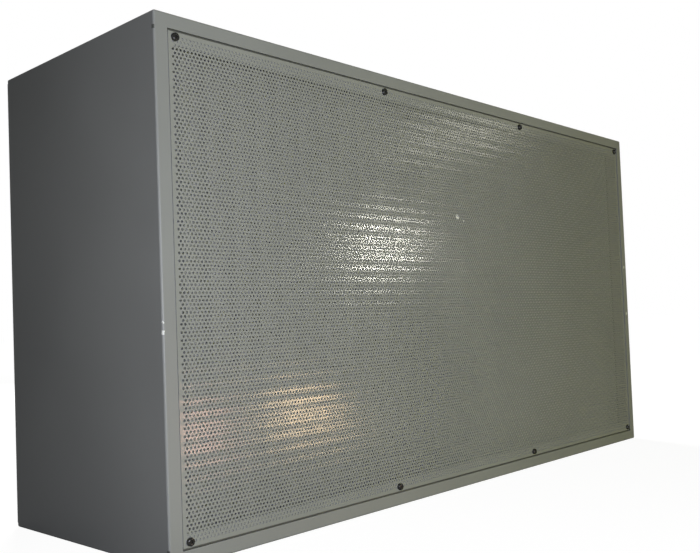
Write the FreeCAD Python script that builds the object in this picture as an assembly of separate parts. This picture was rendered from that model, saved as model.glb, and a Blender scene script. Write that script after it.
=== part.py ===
"""Laminar flow hood: a folded steel cabinet that blows filtered air through a perforated plate.

It stands on its long side. X runs along the width, the outlet faces -Y, the fan inlet and the
control box are on the +Y side, and Z is up. Millimetres.
"""
import math
import os

import FreeCAD
import Part

V = FreeCAD.Vector

# Cabinet, one folded and corner-welded steel sheet
width, height, depth = 1100.0, 600.0, 350.0
sheet = 1.5
fold_bevel = 1.5
front_flange = 17.0
rear_flange = 22.0
lip_tall, lip_side = 17.0, 7.0

# Perforated diffuser plate, let into the front flange
plate_sheet = 1.0
plate_gap = 2.0
plate_recess = 1.5
plate_corner = 1.5
field_side, field_tall = 22.0, 36.0
hole_pitch = 70.0
hole_open = 0.57
plate_screws_per_row = 4
plate_screw_side, plate_screw_edge = 27.5, 25.0

# M5 pan-head screw
m5_r, m5_head_r, m5_head_h, m5_hole_r, m5_grip = 2.5, 4.75, 3.7, 2.75, 5.0
head_taper = 0.74

# Sides of the large, middling and small rounds, and of threads, which their heads hide
big_sides, mid_sides, small_sides, thread_sides = 28, 24, 12, 4

# Filter: ledge, gasket, aluminium channel frame, folded glass-fibre pack
ledge_setback, ledge_leg, ledge_face = 11.0, 10.0, 30.5
gasket_h, gasket_w, gasket_inset = 6.0, 15.0, 2.0
filter_fit = 5.5
filter_depth, filter_wall, filter_lip = 69.0, 2.0, 16.0
pleat_depth, pleat_pitch, pleat_paper = 55.0, 36.0, 1.6
sealant = 5.0

# Clamp brackets and jack screws that press the filter on to its ledge
clamp_w, clamp_sheet, clamp_leg, clamp_reach, clamp_rise = 30.0, 2.0, 28.0, 24.0, 14.0
clamp_bolt_in = 13.0
m6_r, m6_flats, m6_head_h, m6_grip = 3.0, 10.0, 4.0, 6.0
m6_length = 25.0
clamp_columns = 2

# Back panel on its gasket
panel_gasket, panel_inset, panel_corner = 2.0, 2.0, 3.0
panel_screw_edge, panel_columns, panel_rows = 9.0, 4, 1
seal_w = 6.0

# Centrifugal fan with backward-curved blades
mouth_r, throat_r, nozzle_sheet, nozzle_flange = 142.0, 104.0, 1.5, 16.0
nozzle_depth, nozzle_collar = 35.0, 9.0
wheel_r, wheel_sheet, wheel_rim_w, wheel_eye_w = 155.0, 2.5, 64.0, 88.0
wheel_running_gap, wheel_overlap, wheel_bore_gap = 3.5, 5.0, 0.6
blade_count, blade_t, blade_inner_r = 7, 2.5, 98.0
blade_turn, blade_bend, blade_steps = 62.0, 1.4, 5

# External-rotor motor
bell_r, bell_wall, bell_length, bell_nose = 52.0, 7.5, 56.0, 4.0
bell_flange_r, bell_flange_t, bell_bevel = 62.0, 4.0, 4.0
air_gap, bell_stand = 1.0, 5.0
stator_flange_r, stator_flange_t = 50.0, 8.0
shaft_r, running_gap = 5.0, 0.05
bearing_r, bearing_w = 13.0, 8.0
motor_screws_count, motor_screw_pcr = 4, 30.0

# Motor spider, its rods and rubber mounts
spider_t, spider_hub_r, spider_arm_w = 3.0, 58.0, 36.0
rod_place, rod_tip_r, rod_tip = 130.0, 4.0, 11.0
m8_flats, m8_head_h = 13.0, 5.3
mount_r, mount_h, stud_depth = 15.0, 25.0, 12.0

# Baffle board that turns the air aside ahead of the filter
baffle_w, baffle_h, baffle_rim, baffle_foam = 600.0, 340.0, 12.0, 10.0
standoff_place, standoff_r, standoff_length = 72.0, 4.6, 34.0

# Acoustic foam on the plenum walls
liner_t, liner_gap = 20.0, 1.0

# Pre-filter, slid into three channel rails over the inlet
prefilter_side, prefilter_t, prefilter_channel, prefilter_sheet = 400.0, 21.0, 14.0, 1.2
prefilter_pitch, prefilter_media, prefilter_fit = 22.0, 2.0, 1.0
rail_sheet, rail_lip = 1.5, 12.0

# Control box
box_side, box_w, box_h, box_d = 175.0, 150.0, 140.0, 60.0
box_sheet, box_return, box_corner, box_screw_in = 1.2, 12.0, 2.0, 9.0
m4_r, m4_head_r, m4_head_h = 2.0, 3.75, 2.6

# Speed regulator and its knob
knob_dx, knob_dz = -32.0, 22.0
regulator_r, regulator_h, bush_r, bush_h = 13.0, 22.0, 5.0, 4.5
spindle_r, spindle_out = 3.0, 12.0
bush_nut_flats, bush_nut_h = 14.0, 2.0
knob_r, knob_top_r, knob_h, knob_gap, knob_cavity_r, knob_cavity_h = 14.0, 12.0, 16.0, 0.4, 9.5, 4.0
knob_skirt, knob_bevel, knob_flute, knob_rest_turn = 2.5, 1.5, 0.06, 135.0
regulator_floor = 5.0

# Rocker switch
switch_dx, switch_dz = 34.0, 22.0
bezel_w, bezel_h, bezel_t, bezel_wall = 17.0, 26.0, 2.0, 1.8
rocker_r, rocker_side_gap, rocker_end_gap, rocker_tilt = 9.6, 0.3, 0.4, 9.0
rocker_crown, rocker_sweep, rocker_hollow, bezel_corner = 20.0, 60.0, 0.4, 1.5
rocker_pin_r, rocker_pin_l = 1.2, 1.2
switch_body_h = 20.0

# Cable gland in the control box's lower wall, and what is inside the box
gland_dx, gland_bore_r, gland_thread_r, gland_flats, gland_nut_h = 0.0, 4.5, 8.0, 20.0, 5.0
gland_hex_h, gland_dome_r, gland_dome_h, gland_lip, gland_neck_r = 6.0, 9.5, 14.0, 3.0, 7.0
capacitor_r, capacitor_l, capacitor_dx, capacitor_up = 15.0, 60.0, -35.0, 32.0
terminal_w, terminal_t, terminal_d, terminal_ways = 50.0, 18.0, 17.0, 4
terminal_dx, terminal_up = 38.0, 30.0

# Hanging brackets, folded Z section, with a hole for a hanger rod
hang_side, hang_edge, hang_sheet, hang_w = 50.0, 60.0, 3.0, 40.0
hang_top, hang_rise, hang_base, hang_hole_r = 40.0, 28.0, 42.0, 5.5
hang_bolt_in, hang_bolt_pitch, hang_corner = 20.0, 22.0, 5.0

# Test port for the filter's dust and pressure tests
port_side, port_r, port_bore_r, port_l = 190.0, 6.0, 4.0, 22.0
port_flats, port_hex_h, port_tail, port_cap_r, port_cap_h = 17.0, 5.0, 10.0, 8.5, 12.0

mid_z = height / 2
front_y, rear_y = -depth / 2, depth / 2
inner_w, inner_h = width / 2 - sheet, height / 2 - sheet
opening_w, opening_h = width / 2 - front_flange, height / 2 - front_flange
lip_y = front_y + plate_recess + plate_sheet
panel_y = rear_y + panel_gasket
panel_face_y = panel_y + sheet
box_x, box_z = width / 2 - box_side, mid_z
port_x, port_z = port_side - width / 2, mid_z
hang_x, hang_z = width / 2 - hang_side, height / 2 - hang_edge

# Each axis with the two directions across it
directions = {
    "x": (V(1, 0, 0), (V(0, 1, 0), V(0, 0, 1))),
    "y": (V(0, 1, 0), (V(0, 0, 1), V(1, 0, 0))),
    "z": (V(0, 0, 1), (V(1, 0, 0), V(0, 1, 0))),
}


def block(x0, x1, y0, y1, z0, z1):
    """A plain box between two corners."""
    return Part.makeBox(x1 - x0, y1 - y0, z1 - z0, V(x0, y0, z0))


def slab(half_w, half_h, y0, y1, corner=0.0, x=0.0, z=mid_z):
    """A sheet standing across Y, centred on x and z, with its corners clipped if asked."""
    solid = block(x - half_w, x + half_w, y0, y1, z - half_h, z + half_h)
    return solid.makeChamfer(corner, along_y(solid)) if corner > 0 else solid


def along_y(solid):
    """The straight edges of a solid that run along Y."""
    found = []
    for edge in solid.Edges:
        if len(edge.Vertexes) == 2:
            run = edge.Vertexes[1].Point - edge.Vertexes[0].Point
            if abs(run.x) < 1e-6 and abs(run.z) < 1e-6:
                found.append(edge)
    return found


def rod(x, z, r, y0, y1):
    """A round bar along Y."""
    return Part.makeCylinder(r, y1 - y0, V(x, y0, z), V(0, 1, 0))


def window(half_w, half_h, y0, y1, inner_half_w, inner_half_h, corner=0.0, x=0.0, z=mid_z):
    """A flat rectangular frame across Y."""
    outer = slab(half_w, half_h, y0, y1, corner, x, z)
    return outer.cut(slab(inner_half_w, inner_half_h, y0 - 1, y1 + 1, 0.0, x, z))


def spoke(r, i, sides, across, flute=0.0):
    """A corner of a regular polygon, with every other one drawn in if it is fluted."""
    turn = 2 * math.pi * (i % sides + 0.5) / sides
    reach = r * (1 - flute * (i % 2))
    return across[0] * (reach * math.cos(turn)) + across[1] * (reach * math.sin(turn))


def corner_r(flats_r, sides):
    """The corner radius of a regular polygon whose flats stand at flats_r."""
    return flats_r / math.cos(math.pi / sides)


def bar(r, h0, h1, at, axis="y", sides=6):
    """A straight bar of regular section, its corners at r, along an axis through at."""
    up, across = directions[axis]
    ring = [at + up * h0 + spoke(r, i, sides, across) for i in range(sides + 1)]
    return Part.Face(Part.makePolygon(ring)).extrude(up * (h1 - h0))


def prism(x, z, r, y0, y1, sides=thread_sides):
    """A bar along Y, by default as a thread."""
    return bar(r, y0, y1, V(x, 0, z), "y", sides)


def turned(points, sides, at=V(0, 0, mid_z), axis="y", flute=0.0):
    """A flat-sided solid of revolution, from a closed profile of (radius, height) points."""
    up, across = directions[axis]
    rings = [[at + up * h + spoke(r, i, sides, across, flute) for i in range(sides + 1)]
             for r, h in points]
    faces = []
    for low, high in zip(rings, rings[1:] + rings[:1]):
        for i in range(sides):
            loop = [low[i], low[i + 1], high[i + 1], high[i]]
            loop = [v for k, v in enumerate(loop) if (v - loop[k - 1]).Length > 1e-6]
            if len(loop) > 2:
                faces.append(Part.Face(Part.makePolygon(loop + [loop[0]])))
    solid = Part.Solid(Part.Shell(faces))
    if solid.Volume < 0:
        solid.reverse()
    return solid.removeSplitter()


def facing_front(solid, y):
    """Turns a solid made for the back, with its foot at y, to face the front."""
    return solid.mirror(V(0, y, 0), V(0, 1, 0))


def pan_screw(x, z, seat_y, length, r, head_r, head_h, outward=1):
    """A pan-head screw with its seat at seat_y and its head towards outward Y."""
    crown = seat_y + head_h
    head = turned([(0, seat_y), (head_r, seat_y), (head_r * head_taper, crown), (0, crown)], 8,
                  V(x, 0, z))
    screw = head.fuse(prism(x, z, r, seat_y - length, seat_y)).removeSplitter()
    return screw if outward > 0 else facing_front(screw, seat_y)


def hex_bolt(x, z, seat_y, length, r, flats, head_h):
    """A hex-head bolt with its head on the +Y side of seat_y."""
    head = prism(x, z, corner_r(flats / 2, 6), seat_y, seat_y + head_h, 6)
    return head.fuse(prism(x, z, r, seat_y - length, seat_y)).removeSplitter()


def spread(first, last, count):
    """Evenly spaced places from first to last."""
    return [first + (last - first) * i / (count - 1) for i in range(count)]


def around(count, radius, turn=0.0):
    """(x, z) places evenly round the fan's axis."""
    angles = [math.radians(turn + 360 * i / count) for i in range(count)]
    return [(radius * math.cos(a), mid_z + radius * math.sin(a)) for a in angles]


def at_corners(reach_x, reach_z):
    """(x, z) places at the four corners about the centre."""
    return [(sx * reach_x, mid_z + sz * reach_z) for sx in (-1, 1) for sz in (-1, 1)]


def plate_screw_places():
    """The diffuser plate's screws: a row near its top edge and one near its bottom edge."""
    reach = width / 2 - plate_screw_side
    rows = (plate_screw_edge, height - plate_screw_edge)
    return [(x, z) for z in rows for x in spread(-reach, reach, plate_screws_per_row)]


def panel_screw_places():
    """The back panel's screws, all round its rim."""
    reach_x, reach_z = width / 2 - panel_screw_edge, height / 2 - panel_screw_edge
    rim = [(x, mid_z + s * reach_z) for s in (-1, 1) for x in spread(-reach_x, reach_x, panel_columns)]
    sides = spread(-reach_z, reach_z, panel_rows + 2)[1:-1]
    return rim + [(s * reach_x, mid_z + dz) for s in (-1, 1) for dz in sides]


def punch(solid, places, r, y0, y1, sides=thread_sides):
    """Cuts a hole along Y at each place, with the sides of what goes through it."""
    return solid.cut(Part.makeCompound([prism(x, z, r, y0, y1, sides) for x, z in places]))


def cabinet_shell():
    """Four walls, the front flange with its joggled lip and the rear flange, all one sheet."""
    outer = block(-width / 2, width / 2, front_y, rear_y, 0, height)
    outer = outer.makeChamfer(fold_bevel, outer.Edges)
    hollow = block(-inner_w, inner_w, front_y + sheet, rear_y - sheet, sheet, height - sheet)
    shell = outer.cut(hollow)
    shell = shell.cut(slab(opening_w, opening_h, front_y - 1, front_y + sheet + 1))
    rear_w, rear_h = width / 2 - rear_flange, height / 2 - rear_flange
    shell = shell.cut(slab(rear_w, rear_h, rear_y - sheet - 1, rear_y + 1))
    step = slab(opening_w + sheet, opening_h + sheet, front_y + sheet, lip_y + sheet)
    step = step.cut(slab(opening_w, opening_h, front_y, lip_y))
    step = step.cut(slab(opening_w - lip_side, opening_h - lip_tall, front_y, lip_y + 10))
    shell = shell.fuse(step).removeSplitter()
    shell = punch(shell, plate_screw_places(), m5_r, front_y, lip_y + sheet + 1)
    return punch(shell, panel_screw_places(), m5_r, rear_y - sheet - 1, rear_y + 1)


def perforations():
    """The staggered rows of holes, as hexagons whose sides face their neighbours."""
    reach_x = width / 2 - field_side - hole_pitch * hole_open / 2
    reach_z = height / 2 - field_tall - hole_pitch * hole_open / 2
    rows = int(2 * reach_z / (hole_pitch * math.sqrt(3) / 2)) + 1
    columns = int(2 * reach_x / hole_pitch) + 1
    row_pitch, pitch = 2 * reach_z / (rows - 1), 2 * reach_x / (columns - 0.5)
    radius = hole_pitch * hole_open / math.sqrt(3)
    places = []
    for row in range(rows):
        start = -reach_x + (row % 2) * pitch / 2
        z = mid_z - reach_z + row * row_pitch
        places += [(start + column * pitch, z) for column in range(columns)]
    turns = [math.radians(30 + 60 * i) for i in range(7)]
    return [
        Part.makePolygon([V(x + radius * math.cos(a), 0, z + radius * math.sin(a)) for a in turns])
        for x, z in places
    ]


def diffuser_plate():
    """The perforated outlet plate: a flat sheet with staggered rows of holes and a plain border."""
    half_w, half_h = opening_w - plate_gap, opening_h - plate_gap
    face = slab(half_w, half_h, 0, 1, plate_corner).Faces
    rim = min(face, key=lambda f: f.CenterOfMass.y).OuterWire
    pierced = Part.makeFace(Part.makeCompound([rim] + perforations()), "Part::FaceMakerBullseye")
    plate = pierced.extrude(V(0, plate_sheet, 0))
    plate.translate(V(0, lip_y - plate_sheet, 0))
    return punch(plate, plate_screw_places(), m5_hole_r, lip_y - plate_sheet - 1, lip_y + 1)


def diffuser_screws():
    """M5 pan heads through the plate and the lip."""
    seat = lip_y - plate_sheet
    length = plate_sheet + sheet + m5_grip
    return [pan_screw(x, z, seat, length, m5_r, m5_head_r, m5_head_h, -1)
            for x, z in plate_screw_places()]


ledge_y = lip_y + sheet + ledge_setback
ledge_back_y = ledge_y + sheet
frame_y = ledge_back_y + gasket_h
frame_back_y = frame_y + filter_depth
filter_w, filter_h = inner_w - filter_fit, inner_h - filter_fit


def filter_ledge():
    """An angle-section frame welded to the walls, which the filter seals against."""
    face = window(inner_w, inner_h, ledge_y, ledge_back_y, inner_w - ledge_face, inner_h - ledge_face)
    leg = window(inner_w, inner_h, ledge_y - ledge_leg, ledge_y, inner_w - sheet, inner_h - sheet)
    return face.fuse(leg).removeSplitter()


def filter_gasket():
    """A rubber strip round the filter's outlet face."""
    half_w, half_h = filter_w - gasket_inset, filter_h - gasket_inset
    return window(half_w, half_h, ledge_back_y, frame_y, half_w - gasket_w, half_h - gasket_w)


def filter_frame():
    """The filter's channel-section frame."""
    body = slab(filter_w, filter_h, frame_y, frame_back_y)
    body = body.cut(slab(filter_w - filter_wall, filter_h - filter_wall,
                         frame_y + filter_wall, frame_back_y - filter_wall))
    through = slab(filter_w - filter_lip, filter_h - filter_lip, frame_y - 1, frame_back_y + 1)
    return body.cut(through)


def zigzag(half_w, half_h, y0, fold_depth, pitch, paper, x=0.0, z=mid_z):
    """Paper folded to and fro across X, as one closed strip, and as long as the pack is tall."""
    count = int(2 * half_w / pitch)
    half_step = half_w / count
    lift = paper * math.hypot(half_step, fold_depth) / half_step
    levels = (y0, y0 + fold_depth - lift)
    front = [V(x - half_w + half_step * i, levels[i % 2], z - half_h) for i in range(2 * count + 1)]
    back = [point + V(0, lift, 0) for point in reversed(front)]
    strip = Part.Face(Part.makePolygon(front + back + [front[0]]))
    return strip.extrude(V(0, 0, 2 * half_h))


def filter_pleats():
    """The folded glass-fibre paper, which runs from the bottom channel to the top one."""
    middle = (frame_y + frame_back_y) / 2
    half_w, half_h = filter_w - filter_wall - sealant, filter_h - filter_wall - sealant
    return zigzag(half_w, half_h, middle - pleat_depth / 2, pleat_depth, pleat_pitch, pleat_paper)


def filter_sealant():
    """The potting compound between the pack and its frame."""
    middle = (frame_y + frame_back_y) / 2
    half_w, half_h = filter_w - filter_wall, filter_h - filter_wall
    return window(half_w, half_h, middle - pleat_depth / 2, middle + pleat_depth / 2,
                  half_w - sealant, half_h - sealant)


def clamp_places():
    """(x, z, inward x, inward z) for each clamp: some along the long walls, one in each short one."""
    reach = inner_w - (2 * inner_w) / (clamp_columns + 1)
    rows = [(x, mid_z + s * inner_h, 0, -s) for s in (-1, 1)
            for x in spread(-reach, reach, clamp_columns)]
    return rows + [(s * inner_w, mid_z, -s, 0) for s in (-1, 1)]


def wall_bracket(x, z, in_x, in_z, parts):
    """Boxes given as (reach from the wall, reach along Y), set on a wall and fused."""
    solid = None
    for near, far, y0, y1 in parts:
        if in_z:
            ends = sorted((z + in_z * near, z + in_z * far))
            piece = block(x - clamp_w / 2, x + clamp_w / 2, y0, y1, *ends)
        else:
            ends = sorted((x + in_x * near, x + in_x * far))
            piece = block(*ends, y0, y1, z - clamp_w / 2, z + clamp_w / 2)
        solid = solid.fuse(piece) if solid else piece
    return solid.removeSplitter()


def clamp_brackets():
    """Folded angles welded to the walls behind the filter."""
    seat = frame_back_y + clamp_rise
    parts = ((0, clamp_sheet, seat, seat + clamp_leg), (0, clamp_reach, seat, seat + clamp_sheet))
    brackets = []
    for x, z, in_x, in_z in clamp_places():
        bracket = wall_bracket(x, z, in_x, in_z, parts)
        bx, bz = x + in_x * clamp_bolt_in, z + in_z * clamp_bolt_in
        brackets.append(punch(bracket, [(bx, bz)], m6_r, seat - 1, seat + clamp_sheet + 1))
    return brackets


def clamp_bolts():
    """Jack screws, whose tips press on the filter frame's rear lip."""
    seat = frame_back_y + m6_length
    return [hex_bolt(x + in_x * clamp_bolt_in, z + in_z * clamp_bolt_in, seat, m6_length, m6_r,
                     m6_flats, m6_head_h) for x, z, in_x, in_z in clamp_places()]


def panel_seal():
    """A soft strip on the rear flange, inboard of the panel's screws."""
    half_w, half_h = width / 2 - rear_flange, height / 2 - rear_flange
    return window(half_w + seal_w, half_h + seal_w, rear_y, panel_y, half_w, half_h)


def hanging_places():
    """(x, z, side) of each hanging bracket's hole."""
    return [(sx * hang_x, mid_z + sz * hang_z, sx) for sx in (-1, 1) for sz in (-1, 1)]


def hanging_bolt_places():
    """(x, z) of the two bolts in each bracket's foot."""
    places = []
    for x, z, side in hanging_places():
        inboard = x - side * (hang_top / 2 + hang_base - hang_bolt_in)
        places += [(inboard, z - hang_bolt_pitch / 2), (inboard, z + hang_bolt_pitch / 2)]
    return places


def back_panel():
    """The flat rear cover with the fan's inlet, holes for what is fixed to it and four weld studs."""
    half_w, half_h = width / 2 - panel_inset, height / 2 - panel_inset
    panel = slab(half_w, half_h, panel_y, panel_face_y, panel_corner)
    y0, y1 = panel_y - 1, panel_face_y + 1
    panel = panel.cut(prism(0, mid_z, mouth_r, y0, y1, big_sides))
    panel = punch(panel, panel_screw_places(), m5_hole_r, y0, y1)
    panel = punch(panel, hanging_bolt_places(), m6_r, y0, y1)
    panel = punch(panel, [(port_x, port_z)], port_r, y0, y1, small_sides)
    studs = [prism(x, z, rod_tip_r, panel_y - stud_depth + 1, panel_y)
             for x, z in at_corners(rod_place, rod_place)]
    return panel.fuse(studs).removeSplitter()


def panel_bolts():
    """M5 pan heads round the back panel's rim."""
    length = sheet + panel_gasket + sheet + m5_grip
    return [pan_screw(x, z, panel_face_y, length, m5_r, m5_head_r, m5_head_h)
            for x, z in panel_screw_places()]


throat_y = panel_y - nozzle_depth
nozzle_end_y = throat_y - nozzle_collar
eye_y = nozzle_end_y + wheel_overlap
wheel_back_y = eye_y - wheel_eye_w - wheel_sheet


def inlet_nozzle():
    """The spun bell mouth that leads air into the wheel's eye, spot-welded behind the panel."""
    lift, flange_r = nozzle_sheet, mouth_r + nozzle_flange
    bulge_r, bulge_y = throat_r + (mouth_r - throat_r) * 0.3, panel_y - nozzle_depth * 0.36
    return turned([(throat_r, nozzle_end_y), (throat_r, throat_y), (bulge_r, bulge_y),
                   (mouth_r, panel_y), (flange_r, panel_y), (flange_r, panel_y - lift),
                   (mouth_r + lift, panel_y - lift), (bulge_r + lift, bulge_y - lift),
                   (throat_r + lift, throat_y), (throat_r + lift, nozzle_end_y)], big_sides)


def shroud_edges(lift):
    """The wheel's shroud, raised by lift, from its eye to its rim, as (radius, y) points."""
    collar_r = throat_r + nozzle_sheet + wheel_running_gap + lift
    rim_y = wheel_back_y + wheel_sheet + wheel_rim_w + lift
    neck_y = eye_y - wheel_overlap
    flare = (collar_r + (wheel_r - collar_r) * 0.3, rim_y + (neck_y - rim_y) * 0.36)
    return (collar_r, eye_y), (collar_r, neck_y), flare, (wheel_r, rim_y)


def impeller():
    """The fan wheel: a back disc, a flared shroud and backward-curved blades in one casting."""
    disc_top, bore_r = wheel_back_y + wheel_sheet, bell_r + wheel_bore_gap
    disc = turned([(bore_r, wheel_back_y), (wheel_r, wheel_back_y), (wheel_r, disc_top),
                   (bore_r, disc_top)], big_sides)
    inner, middle, outer = (shroud_edges(wheel_sheet * share) for share in (0, 0.5, 1))
    shroud = turned([*inner, *reversed(outer)], big_sides)
    foot, blade_top = disc_top - wheel_sheet / 2, nozzle_end_y - wheel_running_gap
    core = turned([(0, foot), (0, blade_top), (middle[0][0], blade_top), *middle[1:],
                   (wheel_r, foot)], big_sides)
    wheel = disc.fuse([shroud] + [blade.common(core) for blade in blades(foot)])
    return wheel.removeSplitter()


def blades(foot_y):
    """Backward-curved blades, each a bent band, taller than the wheel."""
    near, far = [], []
    for share in spread(0.0, 1.0, blade_steps):
        r = blade_inner_r + (wheel_r - blade_inner_r) * share
        turn = -math.radians(blade_turn) * share ** blade_bend
        near.append(V(r * math.cos(turn), foot_y, r * math.sin(turn)))
        turn += blade_t / r
        far.append(V(r * math.cos(turn), foot_y, r * math.sin(turn)))
    band = Part.Face(Part.makePolygon(near + far[::-1] + near[:1]))
    blade = band.extrude(V(0, wheel_eye_w + wheel_sheet, 0))
    made = []
    for i in range(blade_count):
        one = blade.copy()
        one.rotate(V(0, 0, 0), V(0, 1, 0), 360 * i / blade_count)
        one.translate(V(0, 0, mid_z))
        made.append(one)
    return made


bell_base_y = wheel_back_y - bell_flange_t
bell_top_y = bell_base_y + bell_length
stator_y = bell_base_y - bell_stand
motor_plate_y = stator_y - stator_flange_t
spider_y = motor_plate_y - spider_t
shaft_y = motor_plate_y + 1.0
tube_top_y = bell_top_y - bell_nose - 3.0


def rotor_bell():
    """The motor's outer rotor, a closed bell with the flange that carries the wheel's disc."""
    flange_y = wheel_back_y - bell_flange_t
    inner_r, inside = bell_r - bell_wall, bell_top_y - bell_nose
    bell = turned([(0, bell_top_y), (bell_r - bell_bevel, bell_top_y),
                   (bell_r, bell_top_y - bell_bevel), (bell_r, wheel_back_y),
                   (bell_flange_r, wheel_back_y), (bell_flange_r, flange_y),
                   (inner_r, flange_y), (inner_r, inside), (0, inside)], mid_sides)
    return punch(bell, [(0, mid_z)], shaft_r, inside - 1, bell_top_y + 1, small_sides)


def motor_shaft():
    """The shaft, pressed into the bell and turning in two bearings."""
    return prism(0, mid_z, shaft_r, shaft_y + 2, bell_top_y, small_sides)


def bearing_places():
    """The lower end of each bearing along the shaft."""
    return (stator_y + 2, tube_top_y - bearing_w)


def motor_bearings():
    """Two ball bearings in the stator, each drawn as one ring."""
    bore_r = corner_r(shaft_r + running_gap, small_sides)
    rings = [prism(0, mid_z, bearing_r, y, y + bearing_w, small_sides) for y in bearing_places()]
    return [punch(ring, [(0, mid_z)], bore_r, stator_y, bell_top_y, small_sides) for ring in rings]


def motor_stator():
    """The fixed half: a foot flange and the wound core, bored for the bearings."""
    core_r = bell_r - bell_wall - air_gap
    body = turned([(0, motor_plate_y), (stator_flange_r, motor_plate_y),
                   (stator_flange_r, stator_y), (core_r, stator_y), (core_r, tube_top_y),
                   (0, tube_top_y)], mid_sides)
    body = punch(body, [(0, mid_z)], bearing_r, motor_plate_y - 1, tube_top_y + 1, small_sides)
    places = around(motor_screws_count, motor_screw_pcr, 45)
    return punch(body, places, m6_r, motor_plate_y - 1, stator_y - 1)


def motor_screws():
    """Hex bolts that hold the stator to the spider."""
    length = spider_t + stator_flange_t - 2
    bolts = [hex_bolt(x, z, spider_y, length, m6_r, m6_flats, m6_head_h)
             for x, z in around(motor_screws_count, motor_screw_pcr, 45)]
    return [facing_front(bolt, spider_y) for bolt in bolts]


def motor_spider():
    """The cross-shaped steel plate that carries the motor."""
    reach = math.hypot(rod_place, rod_place) + spider_arm_w / 2
    plate = prism(0, mid_z, spider_hub_r, spider_y, motor_plate_y, mid_sides)
    for angle in (45, 135):
        arm = block(-reach, reach, spider_y, motor_plate_y, -spider_arm_w / 2, spider_arm_w / 2)
        arm = arm.makeChamfer(spider_arm_w / 4, along_y(arm))
        arm.rotate(V(0, 0, 0), V(0, 1, 0), angle)
        arm.translate(V(0, 0, mid_z))
        plate = plate.fuse(arm)
    plate = plate.removeSplitter()
    y0, y1 = spider_y - 1, motor_plate_y + 1
    plate = punch(plate, around(motor_screws_count, motor_screw_pcr, 45), m6_r, y0, y1)
    plate = punch(plate, at_corners(rod_place, rod_place), rod_tip_r, y0, y1)
    return punch(plate, [(0, mid_z)], bearing_r, y0, y1, small_sides)


def support_rods():
    """Hexagonal spacers from the spider to the rubber mounts, with a threaded tip at the rear."""
    head = panel_y - mount_h
    rods = []
    for x, z in at_corners(rod_place, rod_place):
        spacer = prism(x, z, corner_r(m8_flats / 2, 6), motor_plate_y, head, 6)
        tip = prism(x, z, rod_tip_r, head, head + rod_tip - 1)
        bore = prism(x, z, rod_tip_r, motor_plate_y - 1, motor_plate_y + rod_tip)
        rods.append(spacer.fuse(tip).removeSplitter().cut(bore))
    return rods


def rod_bolts():
    """Hex bolts that hold the spider to its spacers."""
    length = spider_t + rod_tip - 1
    bolts = [hex_bolt(x, z, spider_y, length, rod_tip_r, m8_flats, m8_head_h)
             for x, z in at_corners(rod_place, rod_place)]
    return [facing_front(bolt, spider_y) for bolt in bolts]


def rubber_mounts():
    """Rubber buffers that keep the fan's vibration from the back panel."""
    places = at_corners(rod_place, rod_place)
    mounts = [prism(x, z, mount_r, panel_y - mount_h, panel_y, small_sides) for x, z in places]
    return [mount.cut(prism(x, z, rod_tip_r, panel_y - mount_h - 1, panel_y + 1))
            for mount, (x, z) in zip(mounts, places)]


baffle_y = spider_y - standoff_length


def baffle_board():
    """A shallow folded tray ahead of the fan, spot-welded to its posts."""
    front = baffle_y - sheet
    board = slab(baffle_w / 2, baffle_h / 2, front, baffle_y)
    rim = window(baffle_w / 2, baffle_h / 2, front - baffle_rim, front, baffle_w / 2 - sheet,
                 baffle_h / 2 - sheet)
    return board.fuse(rim).removeSplitter()


def baffle_foam_sheet():
    """Foam on the baffle's fan side, with holes for the posts."""
    pad = slab(baffle_w / 2 - 4, baffle_h / 2 - 4, baffle_y, baffle_y + baffle_foam)
    places = at_corners(standoff_place, standoff_place)
    return punch(pad, places, standoff_r, baffle_y - 1, baffle_y + baffle_foam + 1, 6)


def baffle_standoffs():
    """Hexagonal posts that carry the baffle on the spider."""
    return [prism(x, z, standoff_r, baffle_y, spider_y, 6)
            for x, z in at_corners(standoff_place, standoff_place)]


liner_y0 = frame_back_y + clamp_rise + clamp_leg + liner_gap
liner_y1 = rear_y - sheet - m5_grip - liner_gap


def long_liners():
    """Foam glued to the plenum's top and bottom walls."""
    return [block(-inner_w, inner_w, liner_y0, liner_y1, z0, z0 + liner_t)
            for z0 in (sheet, height - sheet - liner_t)]


def short_liners():
    """Foam glued to the plenum's end walls, between the long sheets."""
    z0, z1 = sheet + liner_t + liner_gap, height - sheet - liner_t - liner_gap
    return [block(x0, x0 + liner_t, liner_y0, liner_y1, z0, z1) for x0 in (-inner_w, inner_w - liner_t)]


rail_face_y = panel_face_y + rail_sheet
rail_inner = prefilter_t + prefilter_fit
rail_top_y = rail_face_y + rail_inner + rail_sheet
rail_reach = prefilter_side / 2 + prefilter_fit


def prefilter_rails():
    """A three-sided channel on the panel, open at the top, that the pre-filter slides into."""
    far = rail_reach + rail_sheet
    body = slab(far, far, panel_face_y, rail_top_y)
    body = body.cut(slab(rail_reach, rail_reach, rail_face_y, rail_top_y - rail_sheet))
    mouth = rail_reach - rail_lip
    body = body.cut(slab(mouth, mouth, panel_face_y - 1, rail_top_y + 1))
    top = mid_z + mouth
    return body.cut(block(-far - 1, far + 1, panel_face_y - 1, rail_top_y + 1, top, mid_z + far + 1))


def prefilter_frame():
    """The pre-filter's channel frame."""
    half = prefilter_side / 2
    back = rail_face_y + prefilter_t
    body = slab(half, half, rail_face_y, back)
    body = body.cut(slab(half - prefilter_sheet, half - prefilter_sheet, rail_face_y + prefilter_sheet,
                         back - prefilter_sheet))
    return body.cut(slab(half - prefilter_channel, half - prefilter_channel, rail_face_y - 1, back + 1))


def prefilter_pleats():
    """The pre-filter's folded synthetic felt."""
    half = prefilter_side / 2 - prefilter_sheet
    folds = prefilter_t - 2 * prefilter_sheet
    return zigzag(half, half, rail_face_y + prefilter_sheet, folds, prefilter_pitch, prefilter_media)


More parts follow.
